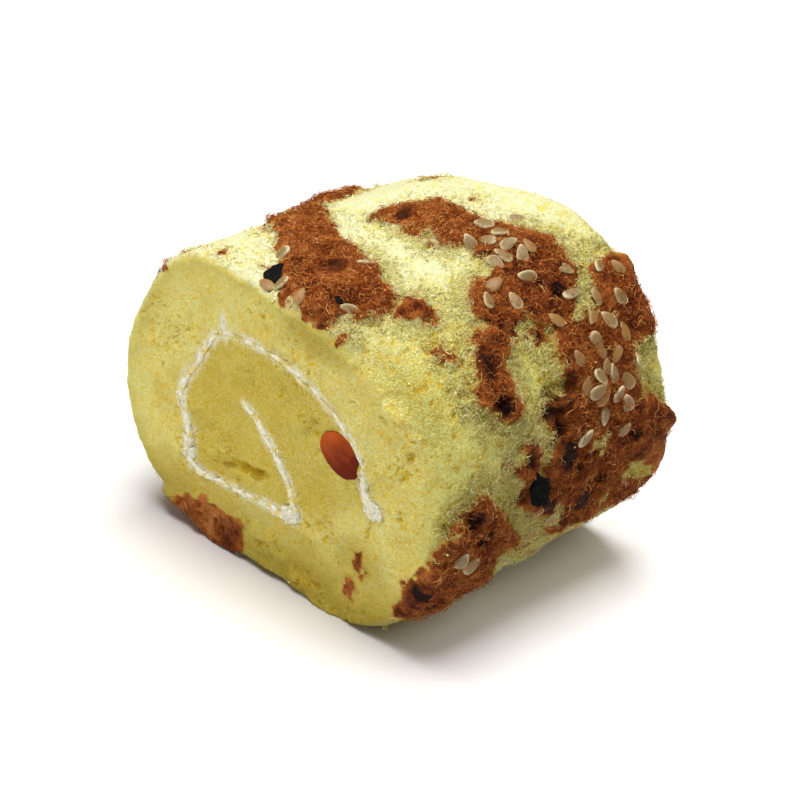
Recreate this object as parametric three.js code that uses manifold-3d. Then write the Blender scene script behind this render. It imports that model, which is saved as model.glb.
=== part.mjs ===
// A short swiss roll: one sponge sheet rolled up round a thin layer of cream, with
// a morsel of filling at its near cut face. Browned floss patches, sesame seeds and
// flakes of seaweed are baked onto the outside of the sheet.
//
// Millimetres, +Z up. The roll lies along Y with its near cut face towards -Y, and
// rests on a flat strip at z = 0.

import * as THREE from 'three';
import { mergeVertices } from 'three/addons/utils/BufferGeometryUtils.js';
import Module from 'manifold-3d';

const wasm = await Module();
wasm.setup();

// --- Driving dimensions -----------------------------------------------------------

const LENGTH = 43; // along the roll, from one cut face to the other
const AXIS_HEIGHT = 24; // the section's centre above the table
const AXIS_DRIFT = 5.3; // how far +X the section's centre moves from near face to far
const CENTRE_X = -1.3; // puts the finished roll's box centre on x = 0

// Radii of the slightly squashed section, every 30 degrees counter-clockwise from +X.
const NEAR_RADII = [32, 34.5, 29, 26.5, 30.8, 30.2, 31.7, 32.2, 26.8, 23.6, 28.5, 31.1];
const FAR_RADII = [33.1, 34, 33.5, 28.5, 28, 30.5, 31, 30.5, 27, 25, 28.8, 31.2];
const RADIUS_STEP = 30;
const MEAN_RADIUS = 30; // turns degrees round the roll into millimetres along its skin

const CRISP_RIM = 1.5; // rounding of the edge between skin and cut face
const SOFT_RIM = 4.5; // the same where the near edge has crumbled soft
const SOFT_TOWARDS = 28; // direction of that soft stretch, in degrees round the section
const FAR_RIM = 2; // and at the far cut face

const CREAM_THICKNESS = 1;
const CLEARANCE = 0.3; // between each filling and the sponge round it
const SEAM_WIDTH = 0.5; // crease where the sheet's free end meets the roll

const FLOSS_LIFT = 1.1; // how far a browned floss patch stands above the sponge
const FLOSS_LUMP = 0.5; // unevenness of that lift
const FLOSS_EDGE = 1.6; // width over which a patch rises

const SEED = { length: 3, width: 1.75, thickness: 0.9 };
const SEED_SPACING = 2.1; // closest that two scattered seed centres lie
const SEED_SIDES = 6;
const SEED_RINGS = 4;

const SKIN_COLUMNS = 96;
const SKIN_ROWS = 18;
const RIM_STEPS = 3;
const RIBBON_STEPS = 20; // stations along each strip of cream

// --- Where things lie -------------------------------------------------------------
// On the skin a place is [degrees round the section, millimetres along the roll].

const FLOSS_PATCHES = [
  // top, near end
  [[120, -8], [118, 0], [109, -1.5], [97, -6], [81, -7], [71, -9.5], [62, -12], [60, -16],
    [66, -20], [79, -21], [90, -19], [97, -15], [107, -11.5]],
  // round spot beside it
  [[62, -10.8], [59, -8.6], [55.5, -9], [53.5, -12], [57, -13.2], [60, -12.6]],
  // ridge, far half
  [[99.5, 0.5], [99.5, 6], [93, 11.5], [86.5, 10.5], [73, 9.5], [66, 12], [61, 10], [63, 5],
    [68, 4], [73, 1], [78.5, 2], [89, 2.5]],
  // right shoulder, with its tail running down
  [[66, 4], [59, 3.5], [54.5, -3], [50.5, -4.2], [47, -4.2], [40, -10], [31, -13], [23, -9],
    [24, -5.5], [30, -6.5], [36.5, -5], [44.5, 0], [39.5, 4], [38, 6], [40.5, 9], [48.5, 13],
    [58.5, 14], [65, 12], [69, 8]],
  // far right, above
  [[49, 15], [49, 19], [47, 23], [34, 23], [28, 20], [26, 17], [30, 13], [39, 12.5]],
  // bridge full of seeds
  [[40, 5], [42, 13], [35, 14], [27, 16], [20, 15], [13, 16], [15, 6], [24, 3], [31, 3]],
  // right flank, the largest
  [[24, 0.5], [19, -1.8], [11.5, -1], [5.5, -3.5], [0, -6.2], [-5, -4.8], [-9.5, -1.5],
    [-18, 0.3], [-21, 10], [-20, 18], [-14.5, 20], [-9, 23], [2, 23], [10, 19], [17, 14], [24, 6]],
  // lump between the tail and the flank
  [[16.5, -6], [13, -3.6], [7, -4], [4.5, -6.4], [9, -8.2], [14, -8.2]],
  // lower right, near end
  [[10, -14.5], [4.5, -18.2], [-3, -20], [-12, -21], [-22, -23], [-33, -23], [-33, -12],
    [-28, -7.5], [-16, -9], [-14, -5.5], [-5, -9], [2, -11.2]],
  // left underside, near end
  [[217, -23], [249, -23], [247, -17], [238, -14], [226, -15], [219, -18]],
  // left flank
  [[127, 5], [140, 1], [152, 4], [159, 11], [149, 17], [137, 16], [129, 11]],
  [[166, -12], [178, -15], [192, -11], [197, -3], [188, 2], [174, 0], [167, -5]],
  [[182, 11], [196, 8], [208, 12], [212, 23], [196, 23], [186, 18]],
  // underneath, clear of the flat strip
  [[224, 1], [236, -3], [243, 2], [241, 9], [231, 11], [225, 7]],
];

// Troughs where fluffy sponge has risen beside a browned patch: [degrees, y, radius, depth].
const HOLLOWS = [
  [17, 0.5, 2.6, 1.4],
  [12, -0.5, 2.2, 1.2],
  [38, -9.5, 2, 0.8],
  [46, -4.5, 1.8, 0.7],
  [5, -2.5, 2, 0.7],
  [346, 12, 2, 0.8],
];

// Broad swells of the sponge itself: [degrees, y, radius, height].
const SWELLS = [
  [104, 14, 8, 1],
  [30, -8, 8, 0.5],
  [150, 2, 10, 0.5],
  [4, 17, 7, 0.6],
  [40, 18, 5, 0.5],
  [236, -18, 5, 0.5],
];

// Sesame seeds on the shoulder and right flank: [degrees, y, heading of the tip], with
// headings turned from the roll's length towards growing degrees.
const SEEDS = [
  [68, 4.2, 78], [66, 6, 112], [66, 8, -56], [69, 13.3, -36], [62, 7.4, -11], [58, 7.8, 56],
  [59, 9.5, 83], [60, 5.6, 100], [59, 3.8, -95], [50, 11.3, -60], [44, 9.5, -4], [52, 5.4, 140],
  [54, 1, 5], [51, -1.8, 67], [48, 1.4, 73], [40, 5.2, 112], [71, 8.1, 113], [47, 16, -154],
  [45, 18.8, 96], [41, 13.4, -113], [39, 16.1, 106], [35, 13, 103], [31, 14.8, 75], [32, 9.5, -77],
  [37, 10.5, -152], [24, 7.8, -70], [25, 10, 72], [23, 10.8, 84], [20, 12.9, 101], [18, 10.5, 43],
  [15, 11.7, 106], [14, 8, -116], [8, 11.3, 58], [11, 3.9, 28], [19, 7.7, 36], [21, 7, 24],
  [23, 5.5, 58], [27, 12, -118], [24, 15.1, -173], [30, 5.5, 100], [29, 9.6, 124], [100, -14.2, 149],
  [88, -19.4, 136], [92, -20.3, 90], [79, -20, 19], [66, -17.7, 105], [78, -9.3, -64], [13, -9.4, -144],
  [351, -17.2, 67], [348, -15.5, 35], [354, -3.7, -108], [350, -0.9, 90], [344, -2.6, 79],
];

// Seeds scattered elsewhere: [degrees, y, half spread round, half spread along, how many].
const SEED_CLUSTERS = [
  [143, 9, 5, 5, 5],
  [183, -6, 6, 5, 6],
  [198, 16, 4, 3, 4],
];

// Seaweed flakes: [degrees, y, length, width, heading].
const FLAKES = [
  [93, -18.5, 3.4, 2.8, 20],
  [0, -2.8, 4, 2.8, 70],
  [69, -18, 1.5, 1, 60],
  [148, 12, 3, 2.2, 130],
  [190, -9, 2.4, 1.8, 40],
];
const FLAKE_THICKNESS = 0.5;

// On the section a place is [x, z] from its centre. The cream was spread on the sheet
// before rolling, so its line winds from the outer end, over the top and round to the
// tip of the sheet.
const OUTER_CREAM = [
  [19.6, -1.2], [18.4, 1.2], [17.7, 6.2], [14.6, 10.2], [10.6, 13.3], [5.8, 15.3], [0.5, 16.2],
  [-5, 16.3], [-8.9, 15.9], [-11.8, 13.2], [-15.4, 7.6], [-18.4, 2.6], [-18.6, -1.2],
  [-17.8, -5], [-18.2, -9], [-16.4, -11.8], [-12, -11.5], [-6.5, -11.3], [-1, -10.9], [3.4, -11.2],
];
const INNER_CREAM = [
  [-5.1, 5.1], [-2.4, 2.9], [0, 0.2], [2.2, -3.4], [3.7, -6.6], [4.4, -10.6],
];
// Pools where more of it gathered: [x, z, half width, half height].
const CREAM_POOLS = [
  [20, -1.1, 1.7, 1.5],
  [3.2, -10.4, 1.9, 1.3],
  [-18, -9.4, 1.2, 1.5],
  [-8.8, 16.9, 0.7, 1.5],
  [-18.9, 0.4, 0.9, 1.1],
];
const SEAM = [[19.9, -2], [18.6, -7], [17, -11.5], [15.6, -17], [14.2, -28]];

// The morsel sits against the inner side of the cream: [x, z], half sizes and depth.
const MORSEL = { x: 13.9, z: 5.4, halfWide: 3.9, halfTall: 3.5, depth: 5, tilt: -35 };

// --- The section and the skin -----------------------------------------------------

const HALF = LENGTH / 2;

/** Cubic through evenly spaced values on a closed ring. */
function ringValue(values, degrees) {
  const n = values.length;
  const place = (((degrees / RADIUS_STEP) % n) + n) % n;
  const i = Math.floor(place);
  const f = place - i;
  const [a, b, c, d] = [-1, 0, 1, 2].map((k) => values[(i + k + n) % n]);
  return b + 0.5 * f * (c - a + f * (2 * a - 5 * b + 4 * c - d + f * (3 * (b - c) + d - a)));
}

/** Shortest signed turn from one direction to another, in degrees. */
function turnBetween(from, to) {
  return ((((to - from) % 360) + 540) % 360) - 180;
}

/** Smooth step from 0 to 1. */
function ease(value) {
  const t = Math.min(Math.max(value, 0), 1);
  return t * t * (3 - 2 * t);
}

/** Millimetres from a skin place to a closed outline, positive inside it. */
function depthInside(outline, degrees, y) {
  const scale = (MEAN_RADIUS * Math.PI) / 180;
  const start = outline[0][0];
  const px = turnBetween(start, degrees) * scale;
  let nearest = Infinity;
  let inside = false;
  for (let i = 0, j = outline.length - 1; i < outline.length; j = i, i += 1) {
    const ax = turnBetween(start, outline[j][0]) * scale;
    const bx = turnBetween(start, outline[i][0]) * scale;
    const ay = outline[j][1];
    const by = outline[i][1];
    const along = ((px - ax) * (bx - ax) + (y - ay) * (by - ay)) / ((bx - ax) ** 2 + (by - ay) ** 2);
    const t = Math.min(Math.max(along, 0), 1);
    nearest = Math.min(nearest, Math.hypot(px - ax - t * (bx - ax), y - ay - t * (by - ay)));
    if (ay > y !== by > y && px < ax + ((bx - ax) * (y - ay)) / (by - ay)) inside = !inside;
  }
  return inside ? nearest : -nearest;
}

/** A round bump or dent of the given height at a skin place. */
function dome([degrees, y, radius, height], atDegrees, atY) {
  const round = turnBetween(degrees, atDegrees) * ((MEAN_RADIUS * Math.PI) / 180);
  const distance = Math.hypot(round, atY - y) / radius;
  return height * ease(1 - distance);
}

/** Uneven, repeatable ripple between about -1 and 1. */
function ripple(degrees, y) {
  const a = (degrees * Math.PI) / 180;
  return (
    0.5 * Math.sin(17 * a + 0.9 * y) +
    0.3 * Math.sin(9 * a - 1.3 * y + 1.7) +
    0.2 * Math.cos(26 * a + 0.4 * y + 0.6)
  );
}

/** How far the skin stands out from the plain section. */
function relief(degrees, y) {
  const depth = Math.max(...FLOSS_PATCHES.map((outline) => depthInside(outline, degrees, y)));
  const floss = ease((depth + FLOSS_EDGE / 2) / FLOSS_EDGE);
  let height = floss * (FLOSS_LIFT + FLOSS_LUMP * ripple(degrees, y));
  for (const swell of SWELLS) height += dome(swell, degrees, y);
  for (const hollow of HOLLOWS) height -= dome(hollow, degrees, y);
  return height;
}

/** Rounding of the skin's edge: soft on the right of the near face. */
function rimRound(degrees, near) {
  if (!near) return FAR_RIM;
  const facing = Math.max(0, Math.cos(((degrees - SOFT_TOWARDS) * Math.PI) / 180));
  return CRISP_RIM + (SOFT_RIM - CRISP_RIM) * facing ** 4;
}

/** Centre of the section at a distance along the roll. */
function sectionCentre(y) {
  const x = CENTRE_X + AXIS_DRIFT * (y / LENGTH);
  return new THREE.Vector3(x, y, AXIS_HEIGHT);
}

/** Point of the skin, drawn in by `inset` and never below the table. */
function skinPoint(degrees, y, inset = 0) {
  const share = y / LENGTH + 0.5;
  const plain = THREE.MathUtils.lerp(
    ringValue(NEAR_RADII, degrees),
    ringValue(FAR_RADII, degrees),
    share,
  );
  const radius = Math.max(plain + relief(degrees, y) - inset, 0);
  const a = (degrees * Math.PI) / 180;
  const point = sectionCentre(y);
  point.x += radius * Math.cos(a);
  point.z = Math.max(point.z + radius * Math.sin(a), 0);
  return point;
}

/** Outward direction of the skin and its two tangents, from nearby points. */
function skinFrame(degrees, y) {
  const reach = 0.8;
  const turn = (reach / MEAN_RADIUS) * (180 / Math.PI);
  const round = skinPoint(degrees + turn, y).sub(skinPoint(degrees - turn, y)).normalize();
  const along = skinPoint(degrees, y + reach).sub(skinPoint(degrees, y - reach)).normalize();
  const out = new THREE.Vector3().crossVectors(along, round).normalize();
  return { round, along: new THREE.Vector3().crossVectors(round, out), out };
}

// --- Solids -----------------------------------------------------------------------

/** Closed three.js geometry to a solid that can be cut and joined. */
function toSolid(geometry) {
  const bare = new THREE.BufferGeometry();
  bare.setAttribute('position', geometry.getAttribute('position').clone());
  if (geometry.index) bare.setIndex(geometry.index.clone());
  const merged = mergeVertices(bare, 1e-4);
  const mesh = new wasm.Mesh({
    numProp: 3,
    vertProperties: new Float32Array(merged.getAttribute('position').array),
    triVerts: new Uint32Array(merged.index.array),
  });
  return new wasm.Manifold(mesh);
}

/** Solid back to a named, coloured three.js mesh. */
function toMesh(name, solid, material) {
  const { vertProperties, triVerts } = solid.getMesh();
  const geometry = new THREE.BufferGeometry();
  geometry.setAttribute('position', new THREE.BufferAttribute(new Float32Array(vertProperties), 3));
  geometry.setIndex(new THREE.BufferAttribute(new Uint32Array(triVerts), 1));
  geometry.computeVertexNormals();
  const mesh = new THREE.Mesh(geometry, material);
  mesh.name = name;
  return mesh;
}

/** Rows of the skin from the near face's centre, over its rim and along, to the far face's. */
function skinRows() {
  const rows = [{ face: -1 }];
  for (let i = 0; i <= RIM_STEPS; i += 1) rows.push({ rim: -1, turn: (i / RIM_STEPS) * (Math.PI / 2) });
  for (let i = 1; i < SKIN_ROWS; i += 1) rows.push({ share: i / SKIN_ROWS });
  for (let i = RIM_STEPS; i >= 0; i -= 1) rows.push({ rim: 1, turn: (i / RIM_STEPS) * (Math.PI / 2) });
  rows.push({ face: 1 });
  return rows;
}

/** The whole roll before the filling is cut out: a ball moved onto skin and cut faces. */
function rollSolid() {
  const rows = skinRows();
  const ball = new THREE.SphereGeometry(1, SKIN_COLUMNS, rows.length - 1);
  const position = ball.getAttribute('position');
  const uv = ball.getAttribute('uv');
  for (let i = 0; i < position.count; i += 1) {
    const row = rows[Math.round((1 - uv.getY(i)) * (rows.length - 1))];
    const column = Math.round(uv.getX(i) * SKIN_COLUMNS) % SKIN_COLUMNS;
    const degrees = (column / SKIN_COLUMNS) * 360;
    let point;
    if (row.face) {
      point = sectionCentre(row.face * HALF);
    } else if (row.rim) {
      const rim = rimRound(degrees, row.rim < 0);
      const y = row.rim * (HALF - rim * (1 - Math.cos(row.turn)));
      point = skinPoint(degrees, y, rim * (1 - Math.sin(row.turn)));
    } else {
      const start = -HALF + rimRound(degrees, true);
      const end = HALF - rimRound(degrees, false);
      point = skinPoint(degrees, THREE.MathUtils.lerp(start, end, row.share));
    }
    position.setXYZ(i, point.x, point.y, point.z);
  }
  return toSolid(ball);
}

/** Extrudes a section outline along the roll, following the drift of its centre. */
function alongRoll(shape, overrun) {
  const geometry = new THREE.ExtrudeGeometry(shape, { depth: 1, steps: 1, bevelEnabled: false });
  const position = geometry.getAttribute('position');
  for (let i = 0; i < position.count; i += 1) {
    const y = THREE.MathUtils.lerp(HALF + overrun, -HALF - overrun, position.getZ(i));
    const centre = sectionCentre(y);
    position.setXYZ(i, centre.x + position.getX(i), centre.y, centre.z + position.getY(i));
  }
  return toSolid(geometry);
}

/** Strip of even thickness along a curve through the section. */
function strip(points, thickness, overrun, steps = RIBBON_STEPS) {
  const curve = new THREE.CatmullRomCurve3(
    points.map(([x, z]) => new THREE.Vector3(x, z, 0)),
    false,
    'centripetal',
  );
  const left = [];
  const right = [];
  for (let i = 0; i <= steps; i += 1) {
    const at = curve.getPointAt(i / steps);
    const way = curve.getTangentAt(i / steps);
    left.push(new THREE.Vector2(at.x - (way.y * thickness) / 2, at.y + (way.x * thickness) / 2));
    right.push(new THREE.Vector2(at.x + (way.y * thickness) / 2, at.y - (way.x * thickness) / 2));
  }
  return alongRoll(new THREE.Shape([...left, ...right.reverse()]), overrun);
}

/** The cream, or with `spare` and `overrun` the slot that it lies in. */
function creamSolid(spare, overrun) {
  const thickness = CREAM_THICKNESS + 2 * spare;
  let solid = strip(OUTER_CREAM, thickness, overrun, 3 * RIBBON_STEPS);
  solid = solid.add(strip(INNER_CREAM, thickness, overrun));
  for (const [x, z, wide, tall] of CREAM_POOLS) {
    const pool = new THREE.Shape();
    pool.absellipse(x, z, wide + spare, tall + spare, 0, 2 * Math.PI, false, 0);
    const outline = new THREE.Shape(pool.getPoints(4).slice(0, -1));
    solid = solid.add(alongRoll(outline, overrun));
  }
  return solid;
}

/** The morsel's egg shape, grown by `spare`, before the knife and the cream shape it. */
function morselEgg(spare) {
  const egg = new THREE.SphereGeometry(1, 20, 12);
  egg.scale(MORSEL.halfWide + spare, MORSEL.depth + spare, MORSEL.halfTall + spare);
  egg.rotateY(THREE.MathUtils.degToRad(-MORSEL.tilt));
  const centre = sectionCentre(-HALF);
  egg.translate(centre.x + MORSEL.x, centre.y, centre.z + MORSEL.z);
  return toSolid(egg);
}

/** Everything in front of the near cut face, which the knife took away. */
function beyondNearFace() {
  const block = new THREE.BoxGeometry(4 * MEAN_RADIUS, LENGTH, 4 * MEAN_RADIUS);
  block.translate(0, -LENGTH, AXIS_HEIGHT);
  return toSolid(block);
}

/** Largest piece of a solid that a cut left in several. */
function largestPiece(solid) {
  return solid.decompose().reduce((best, piece) => (piece.volume() > best.volume() ? piece : best));
}

/** Repeatable stream of numbers from 0 to 1. */
function numberStream(start) {
  let state = start;
  return () => {
    state = (state * 1103515245 + 12345) % 2147483648;
    return state / 2147483648;
  };
}

/** Sets a small solid, built lying in XY, onto the skin at a place and heading. */
function onSkin(geometry, degrees, y, heading, sink) {
  const { round, along, out } = skinFrame(degrees, y);
  const turn = THREE.MathUtils.degToRad(heading);
  const ahead = along.clone().multiplyScalar(Math.cos(turn)).addScaledVector(round, Math.sin(turn));
  const across = new THREE.Vector3().crossVectors(out, ahead);
  const place = new THREE.Matrix4().makeBasis(ahead, across, out);
  place.setPosition(skinPoint(degrees, y).addScaledVector(out, -sink));
  geometry.applyMatrix4(place);
  return toSolid(geometry);
}

/** One teardrop seed. */
function seedGeometry() {
  const seed = new THREE.SphereGeometry(1, SEED_SIDES, SEED_RINGS);
  seed.rotateZ(Math.PI / 2);
  const position = seed.getAttribute('position');
  for (let i = 0; i < position.count; i += 1) {
    const x = position.getX(i);
    const taper = 1 - 0.35 * x;
    position.setXYZ(
      i,
      (x * SEED.length) / 2,
      (position.getY(i) * taper * SEED.width) / 2,
      (position.getZ(i) * SEED.thickness) / 2,
    );
  }
  return seed;
}

/** The placed seeds, then those spread evenly at random in clusters, clear of each other. */
function seedPlaces() {
  const next = numberStream(2024);
  const scale = (MEAN_RADIUS * Math.PI) / 180;
  const places = [...SEEDS];
  for (const [degrees, y, spreadRound, spreadAlong, count] of SEED_CLUSTERS) {
    let made = 0;
    for (let attempt = 0; attempt < 40 * count && made < count; attempt += 1) {
      const angle = 2 * Math.PI * next();
      const reach = Math.sqrt(next());
      const heading = 360 * next();
      const d = degrees + (reach * spreadRound * Math.cos(angle)) / scale;
      const along = y + reach * spreadAlong * Math.sin(angle);
      const clear = places.every(
        (other) => Math.hypot(turnBetween(other[0], d) * scale, other[1] - along) > SEED_SPACING,
      );
      if (clear && Math.abs(along) < HALF - 1.5) {
        places.push([d, along, heading]);
        made += 1;
      }
    }
  }
  return places;
}

/** A thin flake of seaweed with torn, uneven sides. */
function flakeGeometry(length, width) {
  const outline = new THREE.Shape([
    new THREE.Vector2(-0.5 * length, -0.3 * width),
    new THREE.Vector2(-0.1 * length, -0.5 * width),
    new THREE.Vector2(0.45 * length, -0.35 * width),
    new THREE.Vector2(0.5 * length, 0.25 * width),
    new THREE.Vector2(0.05 * length, 0.5 * width),
    new THREE.Vector2(-0.35 * length, 0.4 * width),
  ]);
  const geometry = new THREE.ExtrudeGeometry(outline, {
    depth: FLAKE_THICKNESS,
    steps: 1,
    bevelEnabled: false,
  });
  return geometry;
}

// --- Putting the roll together ----------------------------------------------------

/** The rolled sponge sheet with everything that is baked onto it. */
function spongeSolid(recess) {
  let solid = rollSolid();
  for (const [degrees, y, heading] of seedPlaces()) {
    solid = solid.add(onSkin(seedGeometry(), degrees, y, heading, -0.15));
  }
  for (const [degrees, y, length, width, heading] of FLAKES) {
    solid = solid.add(onSkin(flakeGeometry(length, width), degrees, y, heading, 0.15));
  }
  solid = solid.subtract(creamSolid(CLEARANCE, 1));
  solid = solid.subtract(strip(SEAM, SEAM_WIDTH, 1, 6));
  return largestPiece(solid.subtract(recess));
}

/** The morsel, cut flush with the near face and kept clear of the cream. */
function morselSolid() {
  const shaped = morselEgg(0).subtract(creamSolid(CLEARANCE, 1)).subtract(beyondNearFace());
  return largestPiece(shaped);
}

const sponge = new THREE.MeshStandardMaterial({ color: 0xe6d98a, roughness: 0.9, metalness: 0 });
const cream = new THREE.MeshStandardMaterial({ color: 0xf2f2e6, roughness: 0.5, metalness: 0 });
const morsel = new THREE.MeshStandardMaterial({ color: 0xa04a1c, roughness: 0.35, metalness: 0 });

const roll = new THREE.Group();
roll.add(toMesh('sponge', spongeSolid(morselEgg(CLEARANCE)), sponge));
roll.add(toMesh('cream', creamSolid(0, 0), cream));
roll.add(toMesh('morsel', morselSolid(), morsel));

export default roll;
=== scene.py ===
"""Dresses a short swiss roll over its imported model.

The roll is a rolled sponge sheet with a thin line of cream, a morsel of filling at its
near cut face, and browned floss, sesame seeds and seaweed baked onto its outside.

Sizes are millimetres until a mesh is made, which is in metres. The roll lies along Y
with its near cut face towards -Y and rests on z = 0. A place on the skin is given in
degrees round the section, counter-clockwise from +X, and millimetres along Y. A place on
the section is x and z from the section's centre.
"""

from __future__ import annotations

import logging
import math
from collections.abc import Sequence
from dataclasses import dataclass, field
from enum import Enum
from itertools import product

import bpy
import numpy as np
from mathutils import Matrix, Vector

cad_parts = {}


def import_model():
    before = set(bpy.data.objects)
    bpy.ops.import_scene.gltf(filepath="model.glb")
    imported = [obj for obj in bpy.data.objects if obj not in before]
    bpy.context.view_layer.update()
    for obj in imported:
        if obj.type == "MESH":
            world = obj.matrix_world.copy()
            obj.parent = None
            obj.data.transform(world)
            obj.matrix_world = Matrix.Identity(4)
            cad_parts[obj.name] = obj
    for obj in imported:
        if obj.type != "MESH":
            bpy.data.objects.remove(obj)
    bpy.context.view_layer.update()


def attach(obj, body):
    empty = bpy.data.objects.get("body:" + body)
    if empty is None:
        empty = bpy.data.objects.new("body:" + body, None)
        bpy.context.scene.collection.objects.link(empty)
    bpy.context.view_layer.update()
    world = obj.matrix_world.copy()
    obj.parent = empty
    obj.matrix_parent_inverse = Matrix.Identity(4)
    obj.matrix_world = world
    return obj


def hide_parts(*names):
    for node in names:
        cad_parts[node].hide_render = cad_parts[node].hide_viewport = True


log = logging.getLogger("swiss_roll")

MM = 0.001
BODY = "root"

Array = np.ndarray
Rng = np.random.Generator
Piece = bpy.types.Object
Material = bpy.types.Material
Colour = tuple[float, float, float, float]
Outline = tuple[tuple[float, float], ...]
Place = tuple[float, float, float]

# --- Where things lie ---

# Browned floss patches, as outlines on the skin.
FLOSS_PATCHES: tuple[Outline, ...] = (
    ((120, -8), (118, 0), (109, -1.5), (97, -6), (81, -7), (71, -9.5), (62, -12), (60, -16),
     (66, -20), (79, -21), (90, -19), (97, -15), (107, -11.5)),
    ((62, -10.8), (59, -8.6), (55.5, -9), (53.5, -12), (57, -13.2), (60, -12.6)),
    ((99.5, 0.5), (99.5, 6), (93, 11.5), (86.5, 10.5), (73, 9.5), (66, 12), (61, 10), (63, 5),
     (68, 4), (73, 1), (78.5, 2), (89, 2.5)),
    ((66, 4), (59, 3.5), (54.5, -3), (50.5, -4.2), (47, -4.2), (40, -10), (31, -13), (23, -9),
     (24, -5.5), (30, -6.5), (36.5, -5), (44.5, 0), (39.5, 4), (38, 6), (40.5, 9), (48.5, 13),
     (58.5, 14), (65, 12), (69, 8)),
    ((49, 15), (49, 19), (47, 23), (34, 23), (28, 20), (26, 17), (30, 13), (39, 12.5)),
    ((40, 5), (42, 13), (35, 14), (27, 16), (20, 15), (13, 16), (15, 6), (24, 3), (31, 3)),
    ((24, 0.5), (19, -1.8), (11.5, -1), (5.5, -3.5), (0, -6.2), (-5, -4.8), (-9.5, -1.5),
     (-18, 0.3), (-21, 10), (-20, 18), (-14.5, 20), (-9, 23), (2, 23), (10, 19), (17, 14),
     (24, 6)),
    ((16.5, -6), (13, -3.6), (7, -4), (4.5, -6.4), (9, -8.2), (14, -8.2)),
    ((10, -14.5), (4.5, -18.2), (-3, -20), (-12, -21), (-22, -23), (-33, -23), (-33, -12),
     (-28, -7.5), (-16, -9), (-14, -5.5), (-5, -9), (2, -11.2)),
    ((217, -23), (249, -23), (247, -17), (238, -14), (226, -15), (219, -18)),
    ((127, 5), (140, 1), (152, 4), (159, 11), (149, 17), (137, 16), (129, 11)),
    ((166, -12), (178, -15), (192, -11), (197, -3), (188, 2), (174, 0), (167, -5)),
    ((182, 11), (196, 8), (208, 12), (212, 23), (196, 23), (186, 18)),
    ((224, 1), (236, -3), (243, 2), (241, 9), (231, 11), (225, 7)),
)

# Small browned specks on the skin: degrees, y, radius.
SKIN_SPECKS = (
    (44, -12.2, 1.4), (61, -21, 1.2), (111, -19.5, 0.8), (124, -21.2, 0.9), (138, -21.2, 0.9),
    (108, 17, 1.1), (66, -15.6, 0.9), (98, -17.6, 0.9), (338, -2.6, 0.9), (86, 14.5, 0.7),
    (158, -8, 1.0), (171, 8, 0.9), (215, 4, 1.0), (330, 1.5, 0.9), (57.2, -11.1, 3.0),
    (37.6, 1.6, 1.7), (41.5, -1.6, 1.3), (38, -10.3, 1.1), (6, -6.6, 1.8), (0, -6.6, 1.6),
    (74, -20.8, 1.5), (69, -20.3, 1.3), (84, -20.9, 1.2), (42.6, -11.2, 0.9),
)

# Browned specks and the flap on the near cut face: x, z, half width, half height.
FACE_SPECKS = (
    (16.4, -11.9, 0.9, 1.5), (15.3, -17.3, 0.8, 1.5), (17.6, -13.6, 0.5, 0.6),
    (-21.2, 21.8, 1.0, 0.7), (-7.2, 30.4, 0.7, 0.6),
)
FACE_FLAP: Outline = (
    (-25, -22), (-22.3, -19.2), (-19.3, -17.2), (-15.9, -16.4), (-10.4, -16.4), (-7, -17.4),
    (-6.8, -20.3), (-8.8, -24), (-13, -27), (-20, -27),
)

# Where the crumb of the near face gets painted shade and lies a little darker: x, z, half sizes, share.
FACE_SHADE = ((10, 22.5, 10, 5, 0.75), (17, -13.5, 11, 8, 0.7))

# Where the floss wraps onto the corner of the near cut face: x and z.
FACE_CORNER: Outline = (
    (30, -6.5), (27.6, -8.2), (26, -10.3), (25.2, -13.8), (24.3, -17.5), (25, -24), (34, -24),
    (34, -6.5),
)

# Broad swells of the sponge, and troughs beside browned patches: degrees, y, radius, height.
SWELLS = (
    (104, 14, 8, 1), (30, -8, 8, 0.5), (150, 2, 10, 0.5), (4, 17, 7, 0.6), (40, 18, 5, 0.5),
    (236, -18, 5, 0.5), (17, 0.5, 2.6, -1.4), (12, -0.5, 2.2, -1.2), (38, -9.5, 2, -0.8),
    (46, -4.5, 1.8, -0.7), (5, -2.5, 2, -0.7), (346, 12, 2, -0.8),
)

# Where floss runs over the near rim: degrees, and half spans to where it ends and is full.
SPILLS = ((76, 26, 16), (338, 16, 9))

# Deep pits torn into the floss, painted dark inside as painted shade: degrees, y, radius, depth.
PITS = (
    (24.4, 0.1, 2.1, 1.8), (25.2, 2.7, 1.5, 1.2), (20.5, -1.2, 1.8, 1.5), (62.8, 4.1, 0.9, 0.8),
    (46.4, -3.7, 1, 0.7), (28, -9.1, 1.4, 0.5), (90, -20.6, 0.6, 0.4), (8, -16.9, 0.8, 0.5),
    (2, 3.5, 1.2, 0.7), (356, 8, 1.1, 0.6), (187, -4, 1.4, 0.8), (144, 9, 1.2, 0.6),
)

# Small rounded lumps of browned sponge: degrees, y, radius, height.
LUMPS = ((57.4, -11, 2.6, 0.8), (353, 19.5, 3, 0.5), (4, 21, 2.4, 0.5), (46, 21.5, 2.4, 0.4))

# Charred dark places in the floss: degrees, y, radius.
CHARRED = (
    (23, 0, 3.8), (17, -1, 3.4), (26, 2.6, 2.6), (38, -9, 3), (43, -2, 2.2), (8, 1, 3.2),
    (63, 4, 0.9), (46.5, -4, 1.0), (27, -9.5, 2.4), (339.5, -21, 1.5), (334, -19.5, 1.3),
    (37, 1.2, 2.4), (12, -5.6, 2.2), (1, -6, 2), (9, -3, 1.8), (46, 8, 2.2), (58, 1.5, 1.4),
    (84, -12, 3), (92, 4, 2), (355, -2, 2.4), (2, -15.5, 2.2), (354, -13, 2), (5, 13.5, 1.4),
    (352, 5, 3), (144, 8, 3), (182, -7, 3), (198, 15, 3),
)

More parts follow.
